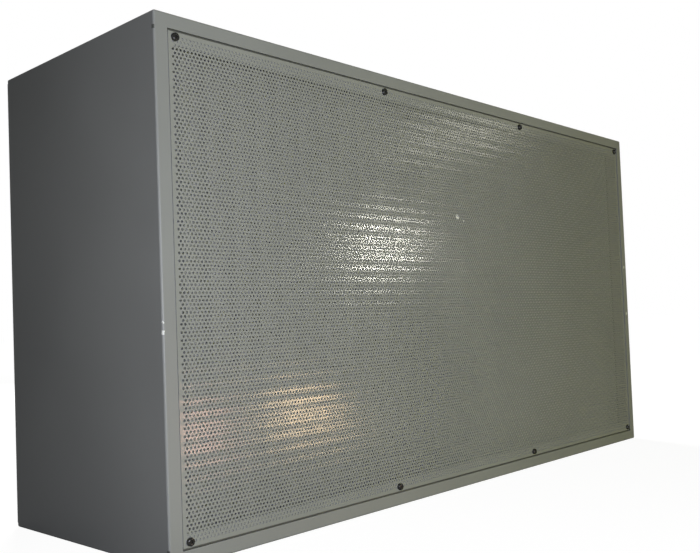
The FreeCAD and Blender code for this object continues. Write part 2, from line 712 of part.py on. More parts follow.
box_back_y = panel_face_y + box_d
knob_place = (box_x + knob_dx, box_z + knob_dz)
cover_y = box_back_y + box_sheet


def box_screw_places():
    """The cover's corner screws."""
    reach_x, reach_z = box_w / 2 - box_screw_in, box_h / 2 - box_screw_in
    return [(box_x + sx * reach_x, box_z + sz * reach_z) for sx in (-1, 1) for sz in (-1, 1)]


def control_box():
    """A folded steel box on the back panel, with returned edges for its cover."""
    body = slab(box_w / 2, box_h / 2, panel_face_y, box_back_y, box_corner, box_x, box_z)
    room = slab(box_w / 2 - box_sheet, box_h / 2 - box_sheet, panel_face_y + box_sheet,
                box_back_y - box_sheet, 0.0, box_x, box_z)
    mouth = slab(box_w / 2 - box_return, box_h / 2 - box_return, box_back_y - box_sheet - 1,
                 box_back_y + 1, 0.0, box_x, box_z)
    corners = [slab(box_screw_in + 4, box_screw_in + 4, box_back_y - box_sheet, box_back_y, 0.0,
                    box_x + sx * (box_w / 2 - box_screw_in - 5), box_z + sz * (box_h / 2 - box_screw_in - 5))
               for sx in (-1, 1) for sz in (-1, 1)]
    body = body.cut([room, mouth]).fuse(corners).removeSplitter()
    body = punch(body, box_screw_places(), m4_r, box_back_y - box_sheet - 1, box_back_y + 1)
    return body.cut(gland_bar(gland_thread_r, gland_seat - 1, gland_seat + box_sheet + 1))


gland_y, gland_seat = panel_face_y + box_d / 2, box_z - box_h / 2


def control_cover():
    """The control box's flat lid, cut out for the knob's bush and the switch."""
    lid = slab(box_w / 2, box_h / 2, box_back_y, cover_y, box_corner, box_x, box_z)
    lid = punch(lid, box_screw_places(), m4_r, box_back_y - 1, cover_y + 1)
    lid = punch(lid, [knob_place], bush_r, box_back_y - 1, cover_y + 1, small_sides)
    cut_w, cut_h = bezel_w / 2 - bezel_wall, bezel_h / 2 - bezel_wall
    return lid.cut(slab(cut_w, cut_h, box_back_y - 1, cover_y + 1, 0.0, box_x + switch_dx, box_z + switch_dz))


def cover_screws():
    """Small pan heads at the lid's corners."""
    return [pan_screw(x, z, cover_y, 2 * box_sheet + 4, m4_r, m4_head_r, m4_head_h)
            for x, z in box_screw_places()]


def speed_regulator():
    """The regulator's body and threaded bush, bored for its spindle."""
    low, top = box_back_y - regulator_h, box_back_y + bush_h
    body = prism(*knob_place, regulator_r, low, box_back_y, small_sides)
    body = body.fuse(prism(*knob_place, bush_r, box_back_y, top, small_sides)).removeSplitter()
    bore_r = corner_r(spindle_r + running_gap, small_sides)
    return punch(body, [knob_place], bore_r, low + regulator_floor, top + 1, small_sides)


def regulator_nut():
    """The thin nut that holds the regulator to the lid."""
    nut = prism(*knob_place, corner_r(bush_nut_flats / 2, 6), cover_y, cover_y + bush_nut_h, 6)
    return punch(nut, [knob_place], bush_r, cover_y - 1, cover_y + bush_nut_h + 1, small_sides)


def regulator_spindle():
    """The regulator's spindle, which the knob is pushed on to."""
    foot = box_back_y - regulator_h + regulator_floor + knob_gap
    return prism(*knob_place, spindle_r, foot, cover_y + knob_gap + spindle_out, small_sides)


def speed_knob():
    """A tapered, fluted knob with a hollow foot and a pointer rib, at its lowest setting."""
    x, z = knob_place
    foot, top = cover_y + knob_gap, cover_y + knob_gap + knob_h
    knob = turned([(0, foot), (knob_r, foot), (knob_r, foot + knob_skirt),
                   (knob_top_r, top - knob_bevel), (knob_top_r - knob_bevel, top), (0, top)],
                  mid_sides, V(x, 0, z), flute=knob_flute)
    knob = punch(knob, [knob_place], knob_cavity_r, foot - 1, foot + knob_cavity_h, small_sides)
    knob = punch(knob, [knob_place], spindle_r, foot, foot + spindle_out, small_sides)
    pointer = block(x - 0.8, x + 0.8, top - 0.5, top + 0.6, z + 2, z + knob_top_r - 2 * knob_bevel)
    pointer.rotate(V(x, top, z), V(0, 1, 0), knob_rest_turn)
    return knob.fuse(pointer).removeSplitter()


pivot_y = cover_y + 0.6


def switch_housing():
    """The switch's snap-in body with its bezel and the hollow that the rocker swings in."""
    x, z = box_x + switch_dx, box_z + switch_dz
    body_w, body_h = bezel_w / 2 - bezel_wall, bezel_h / 2 - bezel_wall
    bezel = slab(bezel_w / 2, bezel_h / 2, cover_y, cover_y + bezel_t, bezel_corner, x, z)
    body = slab(body_w, body_h, cover_y - switch_body_h, cover_y, 0.0, x, z)
    half_w, half_h = body_w - bezel_wall + rocker_side_gap, rocker_r + rocker_end_gap
    cavity = slab(half_w, half_h, pivot_y - half_h, cover_y + bezel_t + 1, 0.0, x, z)
    reach = half_w + rocker_pin_l
    pin = bar(corner_r(rocker_pin_r + running_gap, 8), -reach, reach, V(x, pivot_y, z), "x", 8)
    return bezel.fuse(body).removeSplitter().cut([cavity, pin])


def switch_rocker():
    """The rocker: a drum segment with a hollowed crown, on two stub pins, tilted to its off side."""
    x, z = box_x + switch_dx, box_z + switch_dz
    half_w = bezel_w / 2 - 2 * bezel_wall
    rim = [math.radians(a) for a in spread(rocker_crown, rocker_crown - rocker_sweep, 4)]
    near = [(rocker_r * math.cos(a), rocker_r * math.sin(a)) for a in rim]
    section = near + [(-dz, dy) for dz, dy in near[::-1]] + [(0, near[0][1] * rocker_hollow)]
    ring = [V(x - half_w, pivot_y + dy, z + dz) for dz, dy in section + section[:1]]
    drum = Part.Face(Part.makePolygon(ring)).extrude(V(2 * half_w, 0, 0))
    reach = half_w + rocker_side_gap + rocker_pin_l - 0.3
    rocker = drum.fuse(bar(rocker_pin_r, -reach, reach, V(x, pivot_y, z), "x", 8)).removeSplitter()
    rocker.rotate(V(x, pivot_y, z), V(1, 0, 0), -rocker_tilt)
    return rocker


def gland_bar(r, z0, z1, sides=small_sides):
    """A bar on the gland's upright axis."""
    return bar(r, z0, z1, V(box_x + gland_dx, gland_y, 0), "z", sides)


def gland_body():
    """The cable gland's threaded body: a hexagon outside the wall and a thread through it."""
    foot, low = gland_seat - gland_hex_h, gland_seat - gland_hex_h - gland_dome_h + gland_lip
    top = gland_seat + box_sheet + gland_nut_h + 2
    body = gland_bar(gland_thread_r, gland_seat, top)
    body = body.fuse([gland_bar(corner_r(gland_flats / 2, 6), foot, gland_seat, 6),
                      gland_bar(gland_neck_r, low, foot)]).removeSplitter()
    base = V(box_x + gland_dx, gland_y, low - 1)
    return body.cut(Part.makeCylinder(gland_bore_r, top - low + 2, base, V(0, 0, 1)))


def gland_locknut():
    """The nut inside the box wall."""
    base = gland_seat + box_sheet
    nut = gland_bar(corner_r(gland_flats / 2, 6), base, base + gland_nut_h, 6)
    return nut.cut(gland_bar(gland_thread_r, base - 1, base + gland_nut_h + 1))


def gland_dome():
    """The dome nut that squeezes the seal on to a cable."""
    top = gland_seat - gland_hex_h
    low, bevel, entry_r = top - gland_dome_h, gland_lip, gland_bore_r + 0.5
    return turned([(gland_neck_r, top), (gland_dome_r, top), (gland_dome_r, low + bevel),
                   (gland_dome_r - bevel / 2, low), (entry_r, low), (entry_r, low + bevel),
                   (gland_neck_r, low + bevel)], small_sides, V(box_x + gland_dx, gland_y, 0), "z")


def run_capacitor():
    """The motor's run capacitor, lying on the box floor."""
    sides = 16
    y = panel_face_y + box_sheet + capacitor_r * math.cos(math.pi / sides)
    middle = V(box_x + capacitor_dx, y, box_z - box_h / 2 + capacitor_up)
    return bar(capacitor_r, -capacitor_l / 2, capacitor_l / 2, middle, "x", sides)


def terminal_block():
    """A strip of screw terminals, notched between its ways."""
    x, z, y0 = box_x + terminal_dx, box_z - box_h / 2 + terminal_up, panel_face_y + box_sheet
    half_w, half_t, top = terminal_w / 2, terminal_t / 2, y0 + terminal_d
    strip = block(x - half_w, x + half_w, y0, top, z - half_t, z + half_t)
    way = terminal_w / terminal_ways
    ways = spread(x - half_w + way / 2, x + half_w - way / 2, terminal_ways)
    strip = punch(strip, [(middle, z) for middle in ways], way * 0.3, top - 6, top + 1)
    notches = [block(middle - way / 2 - 0.6, middle - way / 2 + 0.6, top - 8, top + 1,
                     z - half_t - 1, z + half_t + 1) for middle in ways[1:]]
    return strip.cut(notches)


def hanging_bracket(x, z, side):
    """A folded Z bracket: a foot on the panel, a riser and a raised tongue with the rod's hole."""
    top_y = panel_face_y + hang_rise
    edge, fold = x + side * hang_top / 2, x - side * hang_top / 2
    foot_end = fold - side * hang_base
    spans = ((edge, fold, top_y - hang_sheet, top_y),
             (fold, fold - side * hang_sheet, panel_face_y, top_y),
             (fold, foot_end, panel_face_y, panel_face_y + hang_sheet))
    pieces = [block(min(a, b), max(a, b), y0, y1, z - hang_w / 2, z + hang_w / 2)
              for a, b, y0, y1 in spans]
    solid = pieces[0].fuse(pieces[1:]).removeSplitter()
    ends = [e for e in along_y(solid)
            if abs(e.CenterOfMass.x - edge) < 1e-6 or abs(e.CenterOfMass.x - foot_end) < 1e-6]
    solid = solid.makeChamfer(hang_corner, ends)
    solid = solid.cut(rod(x, z, hang_hole_r, top_y - hang_sheet - 1, top_y + 1))
    own = [place for place in hanging_bolt_places()
           if abs(place[1] - z) < hang_w / 2 and place[0] * side > 0]
    return punch(solid, own, m6_r, panel_face_y - 1, panel_face_y + hang_sheet + 1)


def bracket_bolts():
    """Hex bolts through the brackets' feet."""
    length = hang_sheet + sheet + m6_grip
    return [hex_bolt(x, z, panel_face_y + hang_sheet, length, m6_r, m6_flats, m6_head_h)
            for x, z in hanging_bolt_places()]


def port_body():
    """The test port's threaded brass stub, with a hexagon on the panel."""
    low, top = panel_y - port_tail, panel_face_y + port_l
    collar_y = panel_face_y + port_hex_h
    collar = prism(port_x, port_z, corner_r(port_flats / 2, 6), panel_face_y, collar_y, 6)
    stub = prism(port_x, port_z, port_r, low, top, small_sides).fuse(collar).removeSplitter()
    return punch(stub, [(port_x, port_z)], port_bore_r, low - 1, top + 1, small_sides)


def port_cap():
    """The port's screwed cap."""
    foot = panel_face_y + port_l + 2 - port_cap_h
    top = foot + port_cap_h
    cap = turned([(0, foot), (port_cap_r, foot), (port_cap_r, top - 1), (port_cap_r - 1, top),
                  (0, top)], small_sides, V(port_x, 0, port_z))
    return punch(cap, [(port_x, port_z)], port_r, foot - 1, top - 2, small_sides)


def nodes():
    """Every sub-part by name, in the cabinet's own place."""
    return {
        "cabinet_shell": cabinet_shell(),
        "diffuser_plate": diffuser_plate(),
        "diffuser_screws": diffuser_screws(),
        "filter_ledge": filter_ledge(),
        "filter_gasket": filter_gasket(),
        "filter_frame": filter_frame(),
        "filter_sealant": filter_sealant(),
        "filter_pleats": filter_pleats(),
        "clamp_brackets": clamp_brackets(),
        "clamp_bolts": clamp_bolts(),
        "panel_seal": panel_seal(),
        "back_panel": back_panel(),
        "panel_screws": panel_bolts(),
        "inlet_nozzle": inlet_nozzle(),
        "impeller": impeller(),
        "rotor_bell": rotor_bell(),
        "motor_shaft": motor_shaft(),
        "motor_bearings": motor_bearings(),
        "motor_stator": motor_stator(),
        "motor_screws": motor_screws(),
        "motor_spider": motor_spider(),
        "support_rods": support_rods(),
        "rod_bolts": rod_bolts(),
        "rubber_mounts": rubber_mounts(),
        "baffle_board": baffle_board(),
        "baffle_foam": baffle_foam_sheet(),
        "baffle_standoffs": baffle_standoffs(),
        "foam_liners_long": long_liners(),
        "foam_liners_short": short_liners(),
        "prefilter_rails": prefilter_rails(),
        "prefilter_frame": prefilter_frame(),
        "prefilter_pleats": prefilter_pleats(),
        "control_box": control_box(),
        "control_cover": control_cover(),
        "cover_screws": cover_screws(),
        "speed_regulator": speed_regulator(),
        "regulator_nut": regulator_nut(),
        "regulator_spindle": regulator_spindle(),
        "speed_knob": speed_knob(),
        "switch_housing": switch_housing(),
        "switch_rocker": switch_rocker(),
        "gland_body": gland_body(),
        "gland_locknut": gland_locknut(),
        "gland_dome": gland_dome(),
        "run_capacitor": run_capacitor(),
        "terminal_block": terminal_block(),
        "hanging_brackets": [hanging_bracket(*place) for place in hanging_places()],
        "bracket_bolts": bracket_bolts(),
        "test_port": port_body(),
        "test_port_cap": port_cap(),
    }


def main():
    """Centres the whole hood on the origin and writes one file for each sub-part."""
    made = nodes()
    whole = Part.makeCompound([s for one in made.values() for s in (one if isinstance(one, list) else [one])])
    shift = V(0, -(whole.BoundBox.YMin + whole.BoundBox.YMax) / 2, 0)
    os.makedirs("parts", exist_ok=True)
    for name, shape in made.items():
        solid = Part.makeCompound(shape) if isinstance(shape, list) else shape
        solid.translate(shift)
        solid.exportStep("parts/" + name + ".step")
    print("shift along Y:", round(shift.y, 3))


main()
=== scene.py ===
import math

import bpy
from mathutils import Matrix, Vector


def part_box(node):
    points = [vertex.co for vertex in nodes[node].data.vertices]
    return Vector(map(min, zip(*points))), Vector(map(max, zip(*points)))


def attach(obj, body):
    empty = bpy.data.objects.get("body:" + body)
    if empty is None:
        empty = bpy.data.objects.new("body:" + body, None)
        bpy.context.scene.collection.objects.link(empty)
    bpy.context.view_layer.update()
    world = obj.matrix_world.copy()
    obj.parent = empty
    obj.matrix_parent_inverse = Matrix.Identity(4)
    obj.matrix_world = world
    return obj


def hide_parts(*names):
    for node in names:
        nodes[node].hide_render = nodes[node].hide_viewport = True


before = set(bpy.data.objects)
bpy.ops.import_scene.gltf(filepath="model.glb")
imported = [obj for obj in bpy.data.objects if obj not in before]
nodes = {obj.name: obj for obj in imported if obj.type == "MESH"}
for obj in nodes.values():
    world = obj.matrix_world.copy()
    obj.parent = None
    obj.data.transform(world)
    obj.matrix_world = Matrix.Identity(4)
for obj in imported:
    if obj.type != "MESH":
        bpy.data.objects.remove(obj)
bpy.ops.object.select_all(action="DESELECT")
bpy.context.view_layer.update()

# Cabinet: one folded steel sheet, 1.5 mm thick, with welded corners. The front flange steps back
# into a lip that the outlet plate lies on, the rear one takes the back panel's screws. All of it
# is sprayed with a satin grey powder, which chips to pale primer where a fold is knocked.
sheet = 0.0015
fold_radius = 0.0025
front_flange, plate_seat = 0.017, 0.0025
lip_at_sides, lip_at_top = 0.007, 0.017
rear_flange = 0.022
# How near counts as the same place, and how straight a face looks one way to be picked for it.
same_place, same_point, facing, opening_area = 0.00001, 0.000001, 0.9, 0.4
low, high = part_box("cabinet_shell")
front, rear = low.y, high.y
cabinet_middle_z = (low.z + high.z) / 2


def cuboid(name, least, most):
    """A cuboid between two corners, as a new piece with its origin at zero."""
    bpy.ops.mesh.primitive_cube_add(size=1, location=(Vector(least) + Vector(most)) / 2)
    made = bpy.context.object
    made.name = name
    made.scale = Vector(most) - Vector(least)
    bpy.ops.object.transform_apply(location=True, rotation=True, scale=True)
    return made


def select_alone(piece):
    """Selects one piece and makes it the active one."""
    bpy.ops.object.select_all(action="DESELECT")
    bpy.context.view_layer.objects.active = piece
    piece.select_set(True)


def pick(piece, kind, test):
    """Goes into edit mode on a piece with just those faces, edges or vertices selected."""
    select_alone(piece)
    bpy.ops.object.mode_set(mode="EDIT")
    bpy.ops.mesh.select_mode(type=kind)
    bpy.ops.mesh.select_all(action="DESELECT")
    bpy.ops.object.mode_set(mode="OBJECT")
    mesh = piece.data
    for part in {"FACE": mesh.polygons, "EDGE": mesh.edges, "VERT": mesh.vertices}[kind]:
        part.select = test(part)
    bpy.ops.object.mode_set(mode="EDIT")


def finish(piece, *modifiers, smooth=35):
    """Back in object mode, applies modifiers given as (kind, settings) and smooths the shading."""
    most_weighted_faces = 20000
    if bpy.context.mode != "OBJECT":
        bpy.ops.object.mode_set(mode="OBJECT")
    select_alone(piece)
    for kind, settings in modifiers:
        modifier = piece.modifiers.new(kind, kind)
        for key, value in settings.items():
            setattr(modifier, key, value)
        bpy.ops.object.modifier_apply(modifier=modifier.name)
    bpy.ops.object.shade_smooth_by_angle(angle=math.radians(smooth))
    if len(piece.data.polygons) < most_weighted_faces:
        weighted = piece.modifiers.new("weighted normals", "WEIGHTED_NORMAL")
        weighted.keep_sharp = True
        bpy.ops.object.modifier_apply(modifier=weighted.name)
    piece.select_set(False)


cabinet = cuboid("cabinet_coated", low, high)
pick(cabinet, "FACE", lambda face: face.normal.y < -facing)
bpy.ops.mesh.inset(thickness=front_flange)
bpy.ops.mesh.extrude_region_move(TRANSFORM_OT_translate={"value": (0, plate_seat, 0)})
bpy.ops.mesh.inset(thickness=lip_at_sides)
bpy.ops.object.mode_set(mode="OBJECT")
opening_top = high.z - front_flange - lip_at_sides
for side in (1, -1):
    edge_z = cabinet_middle_z + side * (opening_top - cabinet_middle_z)
    pick(cabinet, "VERT", lambda v: abs(v.co.z - edge_z) < same_place and v.co.y < (front + rear) / 2)
    bpy.ops.transform.translate(value=(0, 0, side * (lip_at_sides - lip_at_top)))
    bpy.ops.object.mode_set(mode="OBJECT")
pick(cabinet, "FACE", lambda face: face.normal.y < -facing and face.area > opening_area)
bpy.ops.mesh.delete(type="FACE")
bpy.ops.object.mode_set(mode="OBJECT")
pick(cabinet, "FACE", lambda face: face.normal.y > facing)
bpy.ops.mesh.inset(thickness=rear_flange)
bpy.ops.mesh.delete(type="FACE")
bpy.ops.object.mode_set(mode="OBJECT")


def on_outer_fold(edge):
    """Tells the cabinet's twelve outer edges from those of its openings."""
    a, b = (cabinet.data.vertices[i].co for i in edge.vertices)
    mid = (a + b) / 2
    outside = sum(abs(mid[k] - end[k]) < same_place for k in range(3) for end in (low, high))
    return outside == 2


pick(cabinet, "EDGE", on_outer_fold)
bpy.ops.mesh.bevel(offset=fold_radius, segments=4, affect="EDGES")
finish(cabinet, ("SOLIDIFY", {"thickness": sheet, "offset": -1.0, "use_even_offset": True}))


def shader(name, colour, roughness, metallic=0.0):
    """A new material, with its node tree, its Principled node and object coordinates."""
    made = bpy.data.materials.new(name)
    made.use_nodes = True
    tree = made.node_tree
    surface = tree.nodes["Principled BSDF"]
    surface.inputs["Base Color"].default_value = (*colour, 1)
    surface.inputs["Roughness"].default_value = roughness
    surface.inputs["Metallic"].default_value = metallic
    place = tree.nodes.new("ShaderNodeTexCoord").outputs["Object"]
    return made, tree, surface, place


def texture(tree, kind, place, scale, stretch=(1, 1, 1), **settings):
    """A texture node on object coordinates, stretched along the axes where it is given."""
    mapping = tree.nodes.new("ShaderNodeMapping")
    mapping.inputs["Scale"].default_value = stretch
    tree.links.new(place, mapping.inputs["Vector"])
    node = tree.nodes.new("ShaderNodeTex" + kind)
    tree.links.new(mapping.outputs["Vector"], node.inputs["Vector"])
    node.inputs["Scale"].default_value = scale
    for key, value in settings.items():
        if key in node.inputs:
            node.inputs[key].default_value = value
        else:
            setattr(node, key, value)
    return node


def ramp(tree, value, *stops):
    """A colour ramp from (position, colour) stops."""
    node = tree.nodes.new("ShaderNodeValToRGB")
    tree.links.new(value, node.inputs["Fac"])
    elements = node.color_ramp.elements
    for i, (at, colour) in enumerate(stops):
        element = elements[i] if i < 2 else elements.new(at)
        element.position = at
        element.color = (*colour, 1)
    return node.outputs["Color"]


def clouded(tree, surface, pattern, colour, dark, pale, first=0.3, last=0.7):
    """Lets a pattern carry a surface's colour from a little darker to a little paler."""
    darker, paler = (tuple(min(1, c * k) for c in colour) for k in (dark, pale))
    tone = ramp(tree, pattern.outputs["Fac"], (first, darker), (last, paler))
    tree.links.new(tone, surface.inputs["Base Color"])


def uneven_gloss(tree, surface, pattern, smoothest, dullest, first=0.25, last=0.75):
    """Lets a pattern carry a surface's roughness from one value to another."""
    gloss = ramp(tree, pattern, (first, (smoothest,) * 3), (last, (dullest,) * 3))
    tree.links.new(gloss, surface.inputs["Roughness"])


def relief(tree, surface, height, strength, distance):
    """Adds a bump to a surface, over any that it has already."""
    node = tree.nodes.new("ShaderNodeBump")
    node.inputs["Strength"].default_value = strength
    node.inputs["Distance"].default_value = distance
    tree.links.new(height, node.inputs["Height"])
    before = surface.inputs["Normal"].links
    if before:
        tree.links.new(before[0].from_socket, node.inputs["Normal"])
    tree.links.new(node.outputs["Normal"], surface.inputs["Normal"])


def mixed(tree, share, first, second):
    """Two colours, each a socket or a plain colour, mixed by a share, which is a socket."""
    node = tree.nodes.new("ShaderNodeMix")
    node.data_type = "RGBA"
    for value, socket in ((share, node.inputs[0]), (first, node.inputs[6]), (second, node.inputs[7])):
        if isinstance(value, bpy.types.NodeSocket):
            tree.links.new(value, socket)
        else:
            socket.default_value = (*value, 1)
    return node.outputs[2]


def powder_coat(name, colour, roughness=0.42):
    """Satin powder coat: a fine orange-peel skin, faint clouds in its colour and a few dull marks."""
    coat, tree, surface, place = shader(name, colour, roughness)
    clouds = texture(tree, "Noise", place, scale=3.5, Detail=3.0)
    clouded(tree, surface, clouds, colour, dark=0.93, pale=1.06)
    smear = texture(tree, "Noise", place, scale=14, Detail=4.0)
    uneven_gloss(tree, surface, smear.outputs["Fac"], roughness - 0.05, roughness + 0.07, last=0.8)
    peel = texture(tree, "Noise", place, scale=900, Detail=1.0)
    relief(tree, surface, peel.outputs["Fac"], strength=0.12, distance=0.0002)
    return coat, tree, surface, place


def wear(piece, material):
    """Gives every face of a piece one material."""
    piece.data.materials.clear()
    piece.data.materials.append(material)


def combined(tree, operation, first, second):
    """A maths node on two values, each a socket or a number."""
    node = tree.nodes.new("ShaderNodeMath")
    node.operation = operation
    for value, socket in ((first, node.inputs[0]), (second, node.inputs[1])):
        if isinstance(value, bpy.types.NodeSocket):
            tree.links.new(value, socket)
        else:
            socket.default_value = value
    return node.outputs["Value"]


def measured(tree, operation, vector, other=(0, 0, 0)):
    """A vector's length, its distance from a point or its reach along a direction."""
    node = tree.nodes.new("ShaderNodeVectorMath")
    node.operation = operation
    tree.links.new(vector, node.inputs[0])
    node.inputs[1].default_value = other
    return node.outputs["Value"]


def ranged(tree, value, start, end, first=0.0, last=1.0):
    """Maps one range of a value on to another, and holds it there past both ends."""
    node = tree.nodes.new("ShaderNodeMapRange")
    for name, number in (("From Min", start), ("From Max", end), ("To Min", first), ("To Max", last)):
        node.inputs[name].default_value = number
    tree.links.new(value, node.inputs["Value"])
    return node.outputs["Result"]


def chips_and_painted_glints(tree, surface, place, chips, primer_or_painted_glint=(0.72, 0.73, 0.72)):
    """Small ragged spots in a coat, each given as (x, y, z, size): chips down to the pale primer, or a
    painted highlight where a white is given.
    """
    ragged = texture(tree, "Noise", place, scale=700, Detail=2.0).outputs["Fac"]
    whole_share, torn_from, torn_to = 0.3, 0.34, 0.4
    found = 0.0
    for x, y, z, size in chips:
        away = measured(tree, "DISTANCE", place, (x, y, z))
        found = combined(tree, "MAXIMUM", found, ranged(tree, away, size, size * whole_share))
    torn = combined(tree, "MULTIPLY", found, ragged)
    share = ramp(tree, torn, (torn_from, (0, 0, 0)), (torn_to, (1, 1, 1)))
    before = surface.inputs["Base Color"].links[0].from_socket
    tree.links.new(mixed(tree, share, before, primer_or_painted_glint), surface.inputs["Base Color"])


grey = (0.268, 0.276, 0.278)
coat, tree, surface, place = powder_coat("cabinet powder coat", grey)
knocks = [(low.x, front, 0.262, 0.004), (low.x, front, 0.251, 0.005),
          (high.x - 0.010, front, 0.343, 0.006), (high.x - 0.009, front, 0.250, 0.006)]
chips_and_painted_glints(tree, surface, place, knocks)

# Painted shade: the coat is darkened in the joint along the plate's top and bottom edges, standing in for
# the shadow in the gap.
along = tree.nodes.new("ShaderNodeSeparateXYZ")
tree.links.new(place, along.inputs["Vector"])
joint_top, joint_depth, joint_width, joint_over = 0.0004, 0.004, 0.004, 0.0003
joint_shade_colour = (0.085, 0.088, 0.083)
sunk = combined(tree, "GREATER_THAN", along.outputs["Y"], front + joint_top)
not_deep = combined(tree, "LESS_THAN", along.outputs["Y"], front + joint_depth)
seat = combined(tree, "MULTIPLY", sunk, not_deep)
above_middle = combined(tree, "SUBTRACT", along.outputs["Z"], cabinet_middle_z)
from_middle = combined(tree, "ABSOLUTE", above_middle, 0.0)
end_of_seat = (high.z - low.z) / 2 - front_flange
near_ends = combined(tree, "GREATER_THAN", from_middle, end_of_seat - joint_width)
inside = combined(tree, "LESS_THAN", from_middle, end_of_seat + joint_over)
joint_shade = combined(tree, "MULTIPLY", combined(tree, "MULTIPLY", seat, near_ends), inside)
before = surface.inputs["Base Color"].links[0].from_socket
tree.links.new(mixed(tree, joint_shade, before, joint_shade_colour), surface.inputs["Base Color"])
wear(cabinet, coat)
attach(cabinet, "housing")
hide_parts("cabinet_shell")

# Filter and what it seats on: a welded angle ledge, a black rubber gasket, an extruded aluminium
# frame and white glass-fibre paper potted in cream resin. Eight zinc-plated brackets and jack
# screws press it home from behind. All of it sits behind the outlet plate.
ledge_coat = powder_coat("filter ledge coat", grey, roughness=0.5)[0]
wear(nodes["filter_ledge"], ledge_coat)


def rubber(name, colour, roughness=0.75):
    """Moulded or cut rubber: a dull, faintly mottled skin."""
    made, tree, surface, place = shader(name, colour, roughness)
    mottle = texture(tree, "Noise", place, scale=180, Detail=3.0)
    clouded(tree, surface, mottle, colour, dark=0.75, pale=1.3, last=0.75)
    relief(tree, surface, mottle.outputs["Fac"], strength=0.3, distance=0.0003)
    return made


def drawn_metal(name, colour, roughness, along=(1, 60, 60), grain=60):
    """Extruded, rolled or turned metal: fine lines along its length and a soft cloud of wear."""
    made, tree, surface, place = shader(name, colour, roughness, 1.0)
    lines = texture(tree, "Noise", place, grain, along, Detail=2.0)
    uneven_gloss(tree, surface, lines.outputs["Fac"], roughness - 0.07, roughness + 0.1)
    cloud = texture(tree, "Noise", place, scale=9, Detail=3.0)
    clouded(tree, surface, cloud, colour, dark=0.93, pale=1.05)
    relief(tree, surface, lines.outputs["Fac"], strength=0.08, distance=0.0002)
    return made


def fibres(name, colour, scale, strength):
    """Paper, felt or foam: matted fibres or cells with a soft, uneven tone."""
    made, tree, surface, place = shader(name, colour, 0.95)
    matted = texture(tree, "Noise", place, scale, Detail=6.0, Roughness=0.7)
    clouded(tree, surface, matted, colour, dark=0.8, pale=1.1)
    relief(tree, surface, matted.outputs["Fac"], strength=strength, distance=0.001)
    return made


all_ways = (1, 1, 1)
zinc = drawn_metal("zinc plating", (0.6, 0.61, 0.62), roughness=0.38, along=all_ways, grain=1500)
wear(nodes["filter_gasket"], rubber("gasket rubber", (0.018, 0.018, 0.018)))
wear(nodes["filter_frame"], drawn_metal("filter frame aluminium", (0.78, 0.79, 0.8), roughness=0.3))
wear(nodes["filter_sealant"], rubber("potting resin", (0.62, 0.58, 0.46), roughness=0.4))
wear(nodes["filter_pleats"], fibres("glass-fibre paper", (0.82, 0.82, 0.8), scale=500, strength=0.25))
wear(nodes["clamp_brackets"], zinc)
wear(nodes["clamp_bolts"], zinc)

# Outlet plate: 1 mm steel with staggered rows of 3 mm holes on a 5 mm pitch, punched and then
# powder-coated. Each hole is drawn with six sides, so the sheet is a honeycomb of hexagons with
# every third one left out. Its outer rows lie over the lip and look pale. It is made in four strips.
hole_pitch, counted_height, counted_rows = 0.005, 0.528, 122
row_pitch = counted_height / counted_rows
spare_cells, off_place = 3, 0.05
hole_rows, holes_in_row, strips = 128, 211, 4
plate_low, plate_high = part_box("diffuser_plate")
plate_middle_z = (plate_low.z + plate_high.z) / 2
hexagon = hole_pitch / 3
first_row_z = plate_middle_z - (hole_rows - 1) * row_pitch / 2
field_end_x = holes_in_row * hole_pitch / 2


def cell_place(column, row, corner_number):
    """Centre of a hole (0) or of one of the two solid hexagons that go with it (1 and 2)."""
    x = (column - (holes_in_row - 1) / 2 - (row % 2) / 2) * hole_pitch
    shift_x, shift_z = ((0, 0), (0.5, 1 / 3), (0, 2 / 3))[corner_number]
    return x + shift_x * hole_pitch, first_row_z + (row + shift_z) * row_pitch


